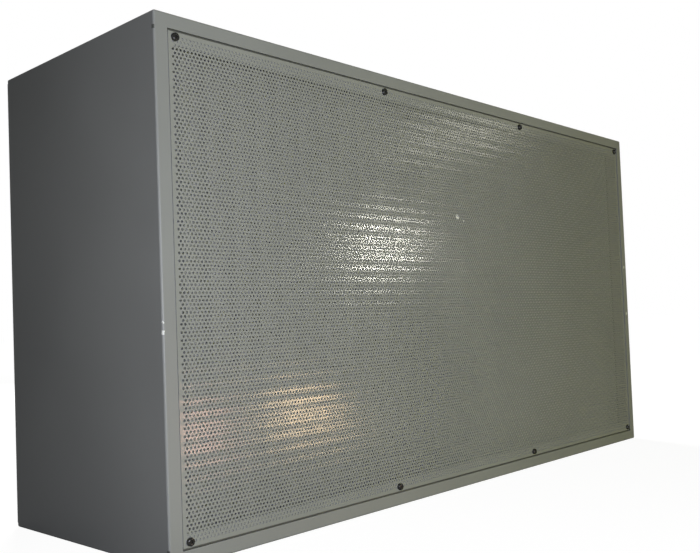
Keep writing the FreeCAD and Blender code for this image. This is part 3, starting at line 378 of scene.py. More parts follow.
def perforated_strip(number, row_from, row_to):
    """One strip of the plate, from one row of holes up to another, as a closed sheet."""
    x, z = cell_place(-1, row_from - 2 + row_from % 2, 0)
    bpy.ops.mesh.primitive_circle_add(vertices=6, radius=hexagon, fill_type="NGON",
                                      location=(x, plate_low.y, z),
                                      rotation=(math.radians(90), math.radians(30), 0))
    strip = bpy.context.object
    strip.name = "outlet_plate_%d" % number
    bpy.ops.object.transform_apply(location=True, rotation=True, scale=True)
    bpy.ops.object.mode_set(mode="EDIT")
    here = (x, z)
    for row, corner_number in ((0, 1), (0, 2), (1, 0), (1, 1), (1, 2)):
        there = cell_place(-1, row_from - 2 + row_from % 2 + row, corner_number)
        step = (there[0] - here[0], 0, there[1] - here[1])
        bpy.ops.mesh.duplicate_move(TRANSFORM_OT_translate={"value": step})
        here = there
    row_pairs = (row_to - row_from) // 2 + spare_cells
    finish(strip, ("ARRAY", {"use_relative_offset": False, "use_constant_offset": True, "count": row_pairs,
                             "constant_offset_displace": (0, 0, 2 * row_pitch)}),
           ("ARRAY", {"use_relative_offset": False, "use_constant_offset": True,
                      "count": holes_in_row + spare_cells, "constant_offset_displace": (hole_pitch, 0, 0)}))
    pick(strip, "FACE", lambda face: True)
    bpy.ops.mesh.remove_doubles(threshold=same_place)
    bottom, top = (first_row_z + (row - 0.5) * row_pitch for row in (row_from, row_to))
    for point, normal in (((-field_end_x, 0, 0), (-1, 0, 0)), ((field_end_x, 0, 0), (1, 0, 0)),
                          ((0, 0, bottom), (0, 0, -1)), ((0, 0, top), (0, 0, 1))):
        bpy.ops.mesh.select_all(action="SELECT")
        bpy.ops.mesh.bisect(plane_co=point, plane_no=normal, clear_outer=True)
    bpy.ops.object.mode_set(mode="OBJECT")
    pick(strip, "FACE", is_hole)
    bpy.ops.mesh.delete(type="FACE")
    bpy.ops.object.mode_set(mode="OBJECT")
    margin_x = field_end_x + plate_low.x
    for end_x, reach in ((-field_end_x, margin_x), (field_end_x, -margin_x)):
        widen(strip, 0, end_x, reach)
    if row_from == 0:
        widen(strip, 2, bottom, plate_low.z - bottom)
    if row_to == hole_rows:
        widen(strip, 2, top, plate_high.z - top)
    finish(strip, ("SOLIDIFY", {"thickness": plate_high.y - plate_low.y, "offset": -1.0}))
    return strip


def is_hole(face):
    """Tells a whole hexagon on a hole's place from the solid ones and from those cut at the field's end."""
    row = (face.center.z - first_row_z) / row_pitch
    column = face.center.x / hole_pitch + (holes_in_row - 1) / 2 + (round(row) % 2) / 2
    return abs(row - round(row)) < off_place and abs(column - round(column)) < off_place


def widen(strip, axis, at, reach):
    """Draws a strip's straight end out into the plate's plain border."""
    ends = strip.data.vertices
    pick(strip, "EDGE", lambda edge: all(abs(ends[i].co[axis] - at) < same_point for i in edge.vertices))
    bpy.ops.mesh.extrude_region_move(
        TRANSFORM_OT_translate={"value": (reach, 0, 0) if axis == 0 else (0, 0, reach)})
    bpy.ops.object.mode_set(mode="OBJECT")


plate_tone, plate_gloss, painted_glint_white = (0.296, 0.303, 0.294), 0.165, (0.9, 0.9, 0.88)
# Painted highlight: two small white spots on the plate stand in for the glint of a shiny dent.
marks = [(-0.014, plate_low.y, 0.409, 0.0075), (0.002, plate_low.y, 0.404, 0.003)]
coated, tree, surface, place = powder_coat("outlet plate powder coat", plate_tone, plate_gloss)
rolled = texture(tree, "Wave", place, scale=1.0, stretch=(0.04, 0, 20),
                 bands_direction="Z", Distortion=3.0, Detail=2.0)
relief(tree, surface, rolled.outputs["Fac"], strength=0.24, distance=0.0005)
chips_and_painted_glints(tree, surface, place, marks, painted_glint_white)
rows_done = [round(hole_rows * share / strips) for share in range(strips + 1)]
for number in range(strips):
    strip = perforated_strip(number + 1, rows_done[number], rows_done[number + 1])
    wear(strip, coated)
    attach(strip, "housing")
    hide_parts("diffuser_plate")

# Eight M5 pan-head screws hold the plate, four along each long edge. They are blackened steel
# with a pressed cross recess. The same screw, zinc-plated, comes again on the back panel and,
# smaller, on the control box's lid.
pan_r, pan_h, pan_round = 0.00475, 0.0037, 0.62
recess_r, recess_w, recess_depth, recess_proud, recess_foot = 0.0024, 0.0011, 0.0019, 0.0004, (0.35, 0.8, 1)
quarter_turn = ((0, -1, 0, 0), (1, 0, 0, 0), (0, 0, 1, 0), (0, 0, 0, 1))
flat_share = math.cos(math.pi / 8)
bpy.ops.mesh.primitive_cylinder_add(vertices=40, radius=pan_r, depth=pan_h, location=(0, 0, pan_h / 2))
pan = bpy.context.object
bpy.ops.object.transform_apply(location=True, rotation=True, scale=True)
pick(pan, "EDGE", lambda edge: all(pan.data.vertices[i].co.z > pan_h / 2 for i in edge.vertices))
bpy.ops.mesh.bevel(offset=pan_h * pan_round, segments=6, profile=pan_round, affect="EDGES")
bpy.ops.object.mode_set(mode="OBJECT")
bpy.ops.mesh.primitive_cube_add(size=1, location=(0, 0, pan_h - recess_depth / 2 + recess_proud / 2))
cross = bpy.context.object
cross.scale = (2 * recess_r, recess_w, recess_depth + recess_proud)
bpy.ops.object.transform_apply(location=True, rotation=True, scale=True)
pick(cross, "FACE", lambda face: face.normal.z < -facing)
bpy.ops.transform.resize(value=recess_foot)
bpy.ops.object.mode_set(mode="OBJECT")
finish(pan, ("BOOLEAN", {"object": cross, "operation": "DIFFERENCE"}))
cross.data.transform(quarter_turn)
finish(pan, ("BOOLEAN", {"object": cross, "operation": "DIFFERENCE"}), smooth=25)
bpy.data.objects.remove(cross)


def joined(pieces):
    """Applies where the pieces stand and joins them into the first one."""
    bpy.ops.object.select_all(action="DESELECT")
    for piece in pieces:
        piece.select_set(True)
    bpy.context.view_layer.objects.active = pieces[0]
    bpy.ops.object.transform_apply(location=True, rotation=True, scale=True)
    bpy.ops.object.join()
    pieces[0].select_set(False)
    return pieces[0]


def copied(model, name, places, outward, size=1.0):
    """Copies of a small piece modelled along Z at the origin, joined as one, each turned outward."""
    made = []
    for place in places:
        one = bpy.data.objects.new(name, model.data.copy())
        bpy.context.scene.collection.objects.link(one)
        one.rotation_euler = Vector((0, 0, 1)).rotation_difference(Vector(outward)).to_euler()
        one.scale = (size, size, size)
        one.location = place
        made.append(one)
    return joined(made)


def grid(node, inset, columns, rows):
    """Places in even columns and rows, set in by a head's radius from the ends of a CAD node."""
    least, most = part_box(node)
    xs = [least.x + inset + (most.x - least.x - 2 * inset) * i / (columns - 1) for i in range(columns)]
    zs = [least.z + inset + (most.z - least.z - 2 * inset) * i / (rows - 1) for i in range(rows)]
    return xs, zs


blackened, tree, surface, place = shader("black oxide", (0.03, 0.03, 0.031), roughness=0.24, metallic=0.5)
rubbed = texture(tree, "Noise", place, scale=900, Detail=3.0)
tree.links.new(ramp(tree, rubbed.outputs["Fac"], (0.35, (0.03, 0.03, 0.03)), (0.75, (0.1, 0.1, 0.097))),
               surface.inputs["Base Color"])
xs, zs = grid("diffuser_screws", pan_r * flat_share, 4, 2)
screw_places = [(x, plate_low.y, z) for x in xs for z in zs]
plate_screws = copied(pan, "outlet_plate_screws", screw_places, (0, -1, 0))
wear(plate_screws, blackened)
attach(plate_screws, "housing")
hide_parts("diffuser_screws")

# Back panel: a flat coated sheet on a black foam strip, held by ten zinc-plated pan heads round
# its rim. The fan hangs on it from the inside and the air comes in through its middle.
panel_low, panel_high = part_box("back_panel")
panel_gloss = 0.44
panel_coat, tree, surface, place = powder_coat("back panel coat", grey, panel_gloss)
panel_chips = [(panel_low.x + 0.004, panel_high.y, 0.06, 0.004), (0.21, panel_high.y, 0.02, 0.005)]
chips_and_painted_glints(tree, surface, place, panel_chips)
wear(nodes["back_panel"], panel_coat)
wear(nodes["panel_seal"], rubber("panel foam strip", (0.02, 0.02, 0.021), roughness=0.9))
xs, zs = grid("panel_screws", pan_r * flat_share, 4, 3)
rim = [(x, panel_high.y, z) for x in xs for z in (zs[0], zs[2])]
rim += [(x, panel_high.y, zs[1]) for x in (xs[0], xs[3])]
panel_screws = copied(pan, "back_panel_screws", rim, (0, 1, 0))
wear(panel_screws, zinc)
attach(panel_screws, "housing")
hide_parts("panel_screws")

# Fan: a galvanised inlet nozzle, a cast aluminium wheel on a black external-rotor motor, and the
# spider, spacer rods and rubber mounts that hang it on the back panel.
galvanised, tree, surface, place = shader("galvanised sheet", (0.55, 0.57, 0.58), 0.38, metallic=0.9)
spangle = texture(tree, "Voronoi", place, scale=130)
tree.links.new(ramp(tree, spangle.outputs["Color"], (0.1, (0.44, 0.46, 0.47)), (0.9, (0.66, 0.68, 0.69))),
               surface.inputs["Base Color"])
uneven_gloss(tree, surface, spangle.outputs["Color"], 0.3, 0.5, first=0.0, last=1.0)
wear(nodes["inlet_nozzle"], galvanised)
wear(nodes["motor_spider"], galvanised)
cast = drawn_metal("cast aluminium", (0.6, 0.61, 0.62), roughness=0.5, along=all_ways, grain=400)
wear(nodes["impeller"], cast)
wear(nodes["motor_stator"], cast)
enamel = powder_coat("motor enamel", (0.02, 0.02, 0.022), roughness=0.3)[0]
wear(nodes["rotor_bell"], enamel)
for name in ("motor_shaft", "motor_bearings", "motor_screws", "support_rods", "rod_bolts",
             "baffle_standoffs"):
    wear(nodes[name], zinc)
wear(nodes["rubber_mounts"], rubber("mount rubber", (0.015, 0.015, 0.015)))

# Baffle and acoustic foam: a galvanised tray that spreads the air, with charcoal foam on it and
# on the plenum's walls.
foam = fibres("acoustic foam", (0.045, 0.045, 0.05), scale=260, strength=0.8)
wear(nodes["baffle_board"], galvanised)
for name in ("baffle_foam", "foam_liners_long", "foam_liners_short"):
    wear(nodes[name], foam)

# Pre-filter: folded white felt in an aluminium channel frame, which slides down into a coated
# three-sided rail over the inlet.
wear(nodes["prefilter_rails"], powder_coat("rail coat", grey, panel_gloss)[0])
wear(nodes["prefilter_frame"], drawn_metal("pre-filter frame aluminium", (0.74, 0.75, 0.76), roughness=0.34))
felt_low, felt_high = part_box("prefilter_pleats")
folds, felt_thickness, fold_round = 18, 0.002, 0.0035
fold_step = (felt_high.x - felt_low.x) / (2 * folds)
fold_depth = felt_high.y - felt_low.y - felt_thickness
first_fold = (felt_low.x + fold_step / 2, felt_low.y, (felt_low.z + felt_high.z) / 2)
bpy.ops.mesh.primitive_plane_add(size=1, location=first_fold)
felt = bpy.context.object
felt.name = "prefilter_felt"
felt.scale = (fold_step, felt_high.z - felt_low.z, 1)
felt.rotation_euler.x = math.radians(90)
bpy.ops.object.transform_apply(location=True, rotation=True, scale=True)
pick(felt, "VERT", lambda v: v.co.x > felt_low.x + fold_step / 2)
bpy.ops.transform.translate(value=(0, fold_depth, 0))
for fold in range(2 * folds - 1):
    way = -fold_depth if fold % 2 == 0 else fold_depth
    bpy.ops.mesh.extrude_region_move(TRANSFORM_OT_translate={"value": (fold_step, way, 0)})
bpy.ops.object.mode_set(mode="OBJECT")


def on_fold(edge):
    """Tells an edge on one of the felt's folds from those between folds and at its two ends."""
    x, other_x = (felt.data.vertices[i].co.x for i in edge.vertices)
    between_ends = felt_low.x + fold_step / 2 < x < felt_high.x - fold_step / 2
    return between_ends and abs(x - other_x) < same_place


pick(felt, "EDGE", on_fold)
bpy.ops.mesh.bevel(offset=fold_round, segments=4, affect="EDGES")
finish(felt, ("SOLIDIFY", {"thickness": felt_thickness, "offset": 0, "use_even_offset": True}))
wear(felt, fibres("filter felt", (0.62, 0.63, 0.61), scale=320, strength=0.7))
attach(felt, "housing")
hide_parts("prefilter_pleats")

# Control box: a coated steel box with a screwed lid, on the back panel beside the inlet. It holds
# the speed regulator, the run capacitor and the terminals.
box_coat = powder_coat("control box coat", grey)[0]
box_low, box_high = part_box("control_box")
lid_low, lid_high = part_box("control_cover")
box_sheet, box_fold, box_return, lid_edge = 0.0012, 0.002, 0.012, 0.0005


def run(piece, edge):
    """Which of the three axes an edge runs along, as true or false for each."""
    a, b = (piece.data.vertices[i].co for i in edge.vertices)
    return tuple(abs(c) > same_place for c in b - a)


box = cuboid("control_box_folded", box_low, box_high)
pick(box, "FACE", lambda face: face.normal.y > facing)
bpy.ops.mesh.inset(thickness=box_return)
bpy.ops.mesh.delete(type="FACE")
bpy.ops.object.mode_set(mode="OBJECT")
inset_x = box_return / 2
rim_of_box = [v.index for v in box.data.vertices if box_low.x + inset_x < v.co.x < box_high.x - inset_x]
pick(box, "EDGE", lambda edge: not any(i in rim_of_box for i in edge.vertices))
bpy.ops.mesh.bevel(offset=box_fold, segments=3, affect="EDGES")
finish(box, ("SOLIDIFY", {"thickness": box_sheet, "offset": -1.0, "use_even_offset": True}))
wear(box, box_coat)
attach(box, "housing")
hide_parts("control_box")

lid = cuboid("control_lid", lid_low, lid_high)
pick(lid, "EDGE", lambda edge: run(lid, edge) == (False, True, False))
bpy.ops.mesh.bevel(offset=box_fold, segments=4, affect="EDGES")
bpy.ops.object.mode_set(mode="OBJECT")
lid_face_y = lid_high.y - same_place
pick(lid, "EDGE", lambda edge: all(lid.data.vertices[i].co.y > lid_face_y for i in edge.vertices))
bpy.ops.mesh.bevel(offset=lid_edge, segments=2, affect="EDGES")
finish(lid)
wear(lid, box_coat)
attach(lid, "housing")
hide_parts("control_cover")
small_head = 0.00375
xs, zs = grid("cover_screws", small_head * flat_share, 2, 2)
screw_places = [(x, lid_high.y, z) for x in xs for z in zs]
lid_screws = copied(pan, "lid_screws", screw_places, (0, 1, 0), small_head / pan_r)
wear(lid_screws, zinc)
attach(lid_screws, "housing")
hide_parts("cover_screws")
bpy.data.objects.remove(pan)


def moulded(name, colour, roughness=0.45):
    """Injection-moulded plastic with a fine spark-eroded grain."""
    made, tree, surface, place = shader(name, colour, roughness)
    grain = texture(tree, "Noise", place, scale=1400, Detail=2.0)
    relief(tree, surface, grain.outputs["Fac"], strength=0.15, distance=0.0001)
    tone = texture(tree, "Noise", place, scale=40, Detail=2.0)
    clouded(tree, surface, tone, colour, dark=0.9, pale=1.1)
    return made


def turned(name, points, closed=False, sides=64):
    """A solid of revolution about Z, drawn ring by ring through (radius, height) points."""
    (radius, height), rest = points[0], points[1:]
    bpy.ops.mesh.primitive_circle_add(vertices=sides, radius=radius, location=(0, 0, height))
    made = bpy.context.object
    made.name = name
    bpy.ops.object.transform_apply(location=True, rotation=True, scale=True)
    bpy.ops.object.mode_set(mode="EDIT")
    bpy.ops.mesh.select_mode(type="VERT")
    bpy.ops.mesh.select_all(action="SELECT")
    for next_radius, next_height in rest + (points[:1] if closed else []):
        rise_to_next = (0, 0, next_height - height)
        bpy.ops.mesh.extrude_region_move(TRANSFORM_OT_translate={"value": rise_to_next})
        share = next_radius / radius
        bpy.ops.transform.resize(value=(share, share, 1), center_override=(0, 0, next_height))
        radius, height = next_radius, next_height
    bpy.ops.mesh.select_all(action="SELECT")
    bpy.ops.mesh.remove_doubles(threshold=same_point)
    if not closed:
        bpy.ops.mesh.fill_holes(sides=0)
    bpy.ops.mesh.select_all(action="SELECT")
    bpy.ops.mesh.normals_make_consistent(inside=False)
    bpy.ops.object.mode_set(mode="OBJECT")
    return made


def drill(radius, reach, sides=64):
    """A round tool along Z, as far above the origin as below it."""
    return turned("tool", [(radius, -reach), (radius, reach)], sides=sides)


def cut(piece, tool, operation="DIFFERENCE", smooth=35):
    """Cuts a piece with a tool, which is used up."""
    finish(piece, ("BOOLEAN", {"object": tool, "operation": operation}), smooth=smooth)
    bpy.data.objects.remove(tool)


def scallops(piece, count, reach, radius, bottom, top):
    """Grips round a turned piece: upright hollows along its rim."""
    bpy.ops.object.select_all(action="DESELECT")
    for number in range(count):
        angle = 2 * math.pi * number / count
        centre = (reach * math.cos(angle), reach * math.sin(angle), (top + bottom) / 2)
        bpy.ops.mesh.primitive_cylinder_add(vertices=12, radius=radius, depth=top - bottom, location=centre)
        tool = bpy.context.object
        bpy.ops.object.transform_apply(location=True, rotation=True, scale=True)
        if number:
            tool.select_set(True)
            first.select_set(True)
            bpy.context.view_layer.objects.active = first
            bpy.ops.object.join()
        first = bpy.context.view_layer.objects.active
    cut(piece, first, smooth=30)


def placed(piece, x, y, z, turn=(0, 0, 0)):
    """Turns and moves a piece's mesh, so that its origin stays at zero."""
    piece.rotation_euler = [math.radians(a) for a in turn]
    piece.location = (x, y, z)
    select_alone(piece)
    bpy.ops.object.transform_apply(location=True, rotation=True, scale=True)
    piece.select_set(False)
    return piece


black_nylon = moulded("black nylon", (0.02, 0.02, 0.022))
ivory_nylon = moulded("ivory nylon", (0.72, 0.7, 0.62))
grey_nylon = moulded("grey nylon", (0.11, 0.115, 0.12))
wear(nodes["speed_regulator"], black_nylon)
wear(nodes["run_capacitor"], ivory_nylon)
wear(nodes["terminal_block"], ivory_nylon)
wear(nodes["regulator_nut"], zinc)
wear(nodes["regulator_spindle"], zinc)
knob_low, knob_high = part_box("speed_knob")
knob_r, knob_top_r, knob_h, knob_skirt, knob_edge = 0.014, 0.012, 0.016, 0.0025, 0.0015
knob_hollow_r, knob_hollow_h, knob_dish_r, dish_floor_r, dish_depth = 0.0095, 0.004, 0.0075, 0.0072, 0.0004
small_round, middle_r = 0.0003, 0.0005
knob_left, knob_up = 0.032, 0.022
knob_x, knob_z = (lid_low.x + lid_high.x) / 2 - knob_left, (lid_low.z + lid_high.z) / 2 + knob_up
knob_outline = [
    (knob_hollow_r, 0), (knob_r - small_round, 0), (knob_r, small_round), (knob_r, knob_skirt - 0.0004),
    (knob_r - 0.0004, knob_skirt), (knob_r - 0.001, knob_skirt + 0.0002), (knob_top_r, knob_h - knob_edge),
    (knob_top_r - 0.0002, knob_h - 0.0008), (knob_top_r - 0.0006, knob_h - small_round),
    (knob_top_r - knob_edge, knob_h), (knob_dish_r, knob_h), (dish_floor_r, knob_h - dish_depth),
    (middle_r, knob_h - dish_depth), (middle_r, knob_hollow_h), (knob_hollow_r, knob_hollow_h)]
knob = turned("fluted_knob", knob_outline, closed=True, sides=96)
scallops(knob, count=18, reach=0.0139, radius=0.0013, bottom=knob_skirt + 0.0004, top=knob_h + 0.001)
placed(knob, knob_x, knob_low.y, knob_z, (-90, 0, 0))
wear(knob, black_nylon)
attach(knob, "knob")
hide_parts("speed_knob")
pointer_w, pointer_h, pointer_from, pointer_to = 0.0008, 0.0006, 0.002, 0.0105
pointer = cuboid("knob_pointer", (-pointer_w, -pointer_h, pointer_from), (pointer_w, pointer_h, pointer_to))
dial_start, dial_step, dial_marks, dial_r, tick_w, print_h = 135, 27, 11, 0.0165, 0.0004, 0.00008
long_tick, short_tick = 0.0032, 0.002
white_print = moulded("white print", (0.8, 0.8, 0.78), roughness=0.5)
wear(placed(pointer, knob_x, knob_high.y - pointer_h, knob_z, (0, dial_start, 0)), white_print)
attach(pointer, "knob")
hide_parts("speed_knob")
ticks = []
for number in range(dial_marks):
    length = long_tick if number % 5 == 0 else short_tick
    tick = cuboid("dial_ticks", (-tick_w, 0, dial_r), (tick_w, print_h, dial_r + length))
    ticks.append(placed(tick, knob_x, lid_high.y, knob_z, (0, dial_start - dial_step * number, 0)))
wear(joined(ticks), white_print)
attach(ticks[0], "housing")
wear(nodes["switch_housing"], black_nylon)
wear(nodes["switch_rocker"], moulded("red switch rocker", (0.42, 0.012, 0.01), roughness=0.25))
wear(nodes["gland_locknut"], grey_nylon)
gland_low, gland_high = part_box("gland_body")
dome_low, dome_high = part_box("gland_dome")
gland_x, gland_y = (gland_low.x + gland_high.x) / 2, (gland_low.y + gland_high.y) / 2
collar_h = box_low.z - dome_high.z
dome_r, dome_hollow_r, dome_hole_r, dome_hollow = 0.0095, 0.0071, 0.005, 0.003
gland_bore, thread_r, neck_r = 0.0045, 0.008, 0.007


def hexagon_bar(name, flats, height, chamfer, both=False):
    """A hexagon along Z from the origin, its corners turned off at the top, or at both ends."""
    bpy.ops.mesh.primitive_cylinder_add(vertices=6, radius=flats / math.sqrt(3), depth=height,
                                        location=(0, 0, height / 2))
    made = bpy.context.object
    made.name = name
    bpy.ops.object.transform_apply(location=True, rotation=True, scale=True)
    face, corner = flats * 0.485, flats * 0.6
    foot = [(face, 0), (corner, chamfer)] if both else [(corner, -chamfer)]
    cut(made, turned("tool", foot + [(corner, height - chamfer), (face, height)]), "INTERSECT", 25)
    return made


gland = hexagon_bar("gland_collar", flats=0.02, height=collar_h, chamfer=0.0009, both=True)
thread = turned("tool", [(thread_r, collar_h * 0.5), (thread_r, gland_high.z - dome_high.z)])
cut(gland, thread, "UNION")
neck = turned("tool", [(neck_r, gland_low.z - dome_high.z), (neck_r, collar_h * 0.5)])
cut(gland, neck, "UNION")
cut(gland, drill(gland_bore, reach=0.03), smooth=25)
wear(placed(gland, gland_x, gland_y, dome_high.z), grey_nylon)
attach(gland, "housing")
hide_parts("gland_body")
dome_h = dome_high.z - dome_low.z
dome_outline = [
    (dome_hollow_r, 0), (dome_r - small_round, 0), (dome_r, small_round), (dome_r, dome_h * 0.55),
    (dome_r * 0.98, dome_h * 0.7), (dome_r * 0.92, dome_h * 0.83), (dome_r * 0.83, dome_h * 0.93),
    (dome_r * 0.7, dome_h), (0.0055, dome_h), (dome_hole_r, dome_h - 0.0006),
    (dome_hole_r, dome_h - dome_hollow), (dome_hollow_r, dome_h - dome_hollow)]
dome = turned("gland_dome_nut", dome_outline, closed=True)
scallops(dome, count=14, reach=dome_r + 0.0004, radius=0.0009, bottom=-0.001, top=dome_h * 0.6)
wear(placed(dome, gland_x, gland_y, dome_high.z, (180, 0, 0)), grey_nylon)
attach(dome, "housing")
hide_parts("gland_dome")

# Hanging brackets: four Z-shaped brackets of 3 mm steel, punched, folded and zinc-plated. Each is
# held on the back panel by two hexagon bolts, and its raised tongue has a hole for a rod.
hang_x, hang_reach_z, hang_w, hang_sheet = 0.5, 0.24, 0.04, 0.003
tongue, rise, foot, rod_hole = 0.04, 0.028, 0.042, 0.0055
outer_fold, inner_fold, tip_round = 0.0035, 0.0012, 0.005
fold_x, seat_y = hang_x - tongue / 2, panel_high.y
middle_z = (panel_low.z + panel_high.z) / 2
bracket = cuboid("hanging_bracket", (fold_x - foot, seat_y, -hang_w / 2),
                 (fold_x, seat_y + hang_sheet, hang_w / 2))
pick(bracket, "FACE", lambda face: True)
bpy.ops.mesh.bisect(plane_co=(fold_x - hang_sheet, 0, 0), plane_no=(1, 0, 0))
bpy.ops.object.mode_set(mode="OBJECT")
pick(bracket, "FACE", lambda face: face.normal.y > facing and face.center.x > fold_x - hang_sheet)
for step in (rise - 2 * hang_sheet, hang_sheet):
    bpy.ops.mesh.extrude_region_move(TRANSFORM_OT_translate={"value": (0, step, 0)})
bpy.ops.object.mode_set(mode="OBJECT")
pick(bracket, "FACE", lambda face: face.normal.x > facing and face.center.y > seat_y + rise - hang_sheet)
bpy.ops.mesh.extrude_region_move(TRANSFORM_OT_translate={"value": (tongue, 0, 0)})
bpy.ops.object.mode_set(mode="OBJECT")


def along_z(edge, x, y):
    """Tells an edge that runs along Z at x and y."""
    a, b = (bracket.data.vertices[i].co for i in edge.vertices)
    return all(abs(v.x - x) < same_place and abs(v.y - y) < same_place for v in (a, b))


for radius, folds_there in ((outer_fold, ((fold_x, seat_y), (fold_x - hang_sheet, seat_y + rise))),
                            (inner_fold, ((fold_x - hang_sheet, seat_y + hang_sheet),
                                          (fold_x, seat_y + rise - hang_sheet)))):
    pick(bracket, "EDGE", lambda edge: any(along_z(edge, x, y) for x, y in folds_there))
    bpy.ops.mesh.bevel(offset=radius, segments=4, affect="EDGES")
    bpy.ops.object.mode_set(mode="OBJECT")
tips = (fold_x - foot, fold_x + tongue)
pick(bracket, "EDGE", lambda edge: run(bracket, edge) == (False, True, False)
     and any(abs(bracket.data.vertices[edge.vertices[0]].co.x - tip) < same_place for tip in tips))
bpy.ops.mesh.bevel(offset=tip_round, segments=5, affect="EDGES")
bpy.ops.object.mode_set(mode="OBJECT")
hole = drill(rod_hole, reach=0.1, sides=48)
cut(bracket, placed(hole, hang_x, seat_y + rise, 0, (90, 0, 0)), smooth=30)
brackets = []
for side in (1, -1):
    for level in (1, -1):
        one = bpy.data.objects.new("hanging_brackets_folded", bracket.data.copy())
        bpy.context.scene.collection.objects.link(one)
        one.scale.x = side
        one.location.z = middle_z + level * hang_reach_z
        brackets.append(one)
bpy.data.objects.remove(bracket)
pick(joined(brackets), "FACE", lambda face: True)
bpy.ops.mesh.normals_make_consistent(inside=False)
bpy.ops.object.mode_set(mode="OBJECT")
wear(brackets[0], zinc)
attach(brackets[0], "housing")
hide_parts("hanging_brackets")
bolt = hexagon_bar("bolt", flats=0.01, height=0.004, chamfer=0.0006)
bolt_inset, bolt_reach_z = 0.042, 0.011
bolt_places = [(side * (hang_x - bolt_inset), seat_y + hang_sheet, middle_z + level * hang_reach_z + step)
               for side in (1, -1) for level in (1, -1) for step in (bolt_reach_z, -bolt_reach_z)]
bolts = copied(bolt, "bracket_hex_bolts", bolt_places, (0, 1, 0))
bpy.data.objects.remove(bolt)
wear(bolts, zinc)
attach(bolts, "housing")
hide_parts("bracket_bolts")

# Test port: a stub turned from hexagon brass bar and bored through, screwed into the back panel. A
# knurled brass cap closes it. Dust or pressure ahead of the filter is measured through it.
brass = drawn_metal("turned brass", (0.72, 0.53, 0.24), roughness=0.25, along=all_ways, grain=500)
port_low, port_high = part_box("test_port")
cap_low, cap_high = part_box("test_port_cap")
port_x, port_z = (cap_low.x + cap_high.x) / 2, (cap_low.z + cap_high.z) / 2
port_r, port_bore, cap_r = 0.006, 0.004, 0.0085
cap_bore, cap_round = port_r + 0.0001, 0.0004
port = hexagon_bar("port_stub", flats=0.017, height=0.005, chamfer=0.001)
tube = turned("tool", [(port_r, port_low.y - seat_y), (port_r, port_high.y - seat_y)])
cut(port, tube, "UNION")
cut(port, drill(port_bore, reach=0.05), smooth=25)
wear(placed(port, port_x, seat_y, port_z, (-90, 0, 0)), brass)
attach(port, "housing")
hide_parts("test_port")
cap_h, cap_hollow = cap_high.y - cap_low.y, port_high.y - cap_low.y
cap_outline = [
    (cap_bore, 0), (cap_r - cap_round, 0), (cap_r, cap_round), (cap_r, cap_h - 0.001),
    (cap_r - small_round, cap_h - cap_round), (cap_r - 0.001, cap_h), (middle_r, cap_h),
    (middle_r, cap_hollow), (cap_bore, cap_hollow)]
cap = turned("port_cap_knurled", cap_outline, closed=True)
scallops(cap, count=30, reach=cap_r + 0.0002, radius=0.0005, bottom=0.0012, top=cap_h - 0.002)
wear(placed(cap, port_x, cap_low.y, port_z, (-90, 0, 0)), brass)
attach(cap, "housing")
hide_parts("test_port_cap")

# The hood stands on white paper before a white backdrop, in a room that is otherwise dim. Lamps
# beside the camera and at its left side light it, with a warm one before its front and one behind.
# Four small lamps show only in gloss, and draw the streaked glints on the outlet plate.
paper_width, paper_grey = 60, (0.18, 0.18, 0.18)
near_paper, far_paper, paper_near_white, paper_far_white = 1.0, 5.0, 0.94, 1.0
bpy.ops.mesh.primitive_plane_add(size=paper_width, location=(0, 0, 0))
floor = bpy.context.object
floor.name = "floor"
paper, tree, surface, place = shader("floor paper", paper_grey, roughness=1.0)
surface.inputs["Specular IOR Level"].default_value = 0


def backdrop(tree, behind):
    """1 for what the camera sees straight on, and for mirrored rays that end behind the hood."""
    seen = tree.nodes.new("ShaderNodeLightPath")
    mirrored = combined(tree, "MULTIPLY", seen.outputs["Is Glossy Ray"], behind)
    return combined(tree, "MAXIMUM", seen.outputs["Is Camera Ray"], mirrored)


surface.inputs["Emission Color"].default_value = (1, 1, 1, 1)
distance = measured(tree, "LENGTH", place)
whiter = ranged(tree, distance, near_paper, far_paper, paper_near_white, paper_far_white)
spot = tree.nodes.new("ShaderNodeSeparateXYZ")
tree.links.new(place, spot.inputs["Vector"])
right_of_side = combined(tree, "GREATER_THAN", spot.outputs["X"], low.x)
behind_panel = combined(tree, "GREATER_THAN", spot.outputs["Y"], rear)
behind = combined(tree, "MULTIPLY", right_of_side, behind_panel)
white = combined(tree, "MULTIPLY", backdrop(tree, behind), whiter)
tree.links.new(white, surface.inputs["Emission Strength"])
wear(floor, paper)

world = bpy.data.worlds.new("studio")
bpy.context.scene.world = world
world.use_nodes = True
tree = world.node_tree
sky = tree.nodes["Background"]
sky.inputs["Color"].default_value = (1, 1, 1, 1)
sky.inputs["Strength"].default_value = 1.0
fill = tree.nodes.new("ShaderNodeBackground")
fill.inputs["Color"].default_value = (1.0, 0.97, 0.35, 1)
fill.inputs["Strength"].default_value = 0.02
past_hood, dim_until, white_from = (0.68, 0.73, 0), 0.45, 0.8
direction = tree.nodes.new("ShaderNodeTexCoord").outputs["Generated"]
far_side = ranged(tree, measured(tree, "DOT_PRODUCT", direction, past_hood), dim_until, white_from)
either = tree.nodes.new("ShaderNodeMixShader")
tree.links.new(backdrop(tree, far_side), either.inputs[0])
tree.links.new(fill.outputs["Background"], either.inputs[1])
tree.links.new(sky.outputs["Background"], either.inputs[2])
tree.links.new(either.outputs["Shader"], tree.nodes["World Output"].inputs["Surface"])


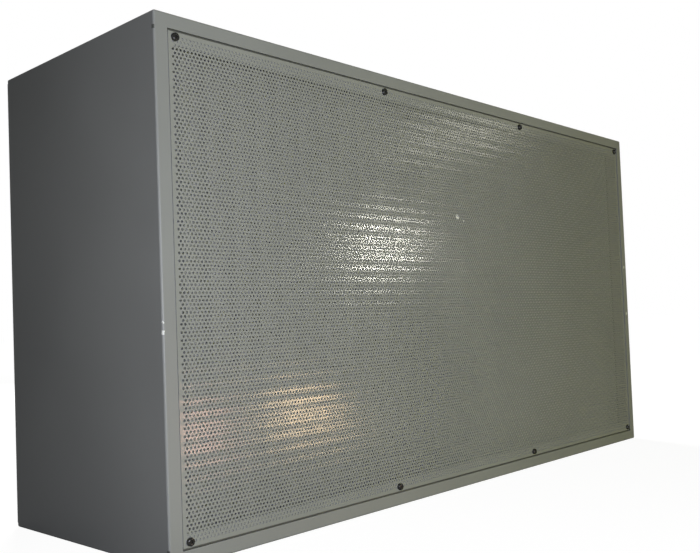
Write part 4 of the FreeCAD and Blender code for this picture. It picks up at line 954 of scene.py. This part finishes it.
def lamp(name, place, aim, size, watts, colour, gloss_only=False):
    """A soft, straight-sided lamp aimed at a point, which can show only in gloss."""
    data = bpy.data.lights.new(name, "AREA")
    data.shape = "RECTANGLE"
    data.size, data.size_y = size
    data.energy = watts
    data.color = colour
    made = bpy.data.objects.new(name, data)
    bpy.context.scene.collection.objects.link(made)
    made.location = place
    made.rotation_euler = (Vector(aim) - Vector(place)).to_track_quat("-Z", "Y").to_euler()
    made.visible_camera = False
    made.visible_diffuse = not gloss_only
    return made


lamp("flash", (-1.05, -1, 0.31), (-0.2, -0.2, 0.3), (0.05, 0.05), 2.2, (1, 1, 1.14))
lamp("side lamp", (-0.86, -0.25, 0.3), (-0.55, -0.2, 0.3), (0.1, 0.7), 0.34, (1, 1, 0.9))
lamp("camera lamp", (-0.8, -1.5, 0.32), (-0.2, -0.2, 0.28), (0.4, 0.4), 8.7, (0.96, 1, 1.18))
warm = lamp("front lamp", (0.15, -2.4, 0.05), (0.1, -0.2, 0.28), (0.6, 0.6), 23.5, (1.05, 1.02, 0.34))
warm.visible_glossy = False
lamp("rear lamp", (1.3, 2.6, 1.5), (0, 0, 0.3), (1.2, 1.2), 95, (1, 1, 0.95))
glints = (
    ("white glint", (1.56, -1.75, 0.555), (-0.18, -0.2, 0.36), (0.09, 0.04), 2.4, (1, 0.97, 0.85)),
    ("orange glint", (0.36, -0.98, 0.031), (-0.344, -0.2, 0.143), (0.15, 0.06), 0.6, (1, 0.7, 0.4)),
    ("pink glint", (0.05, -0.984, 0.025), (-0.5, -0.2, 0.14), (0.1, 0.06), 0.3, (1, 0.55, 0.42)),
    ("upper glint", (1.58, -1.37, 0.955), (-0.007, -0.2, 0.535), (0.4, 0.05), 0.45, (1, 0.97, 0.85)))
for glint in glints:
    lamp(*glint, gloss_only=True)

camera_data = bpy.data.cameras.new("camera")
camera_data.sensor_width = 36
camera_data.lens = 43.564
camera_data.shift_x = -0.0265
camera_data.shift_y = 0.019
camera = bpy.data.objects.new("camera", camera_data)
bpy.context.scene.collection.objects.link(camera)
camera.location = (-1.0655, -0.984, 0.2548)
camera.rotation_euler = [math.radians(a) for a in (92.113, 2.225, -47.485)]
bpy.context.scene.camera = camera
bpy.context.scene.view_settings.view_transform = "Standard"
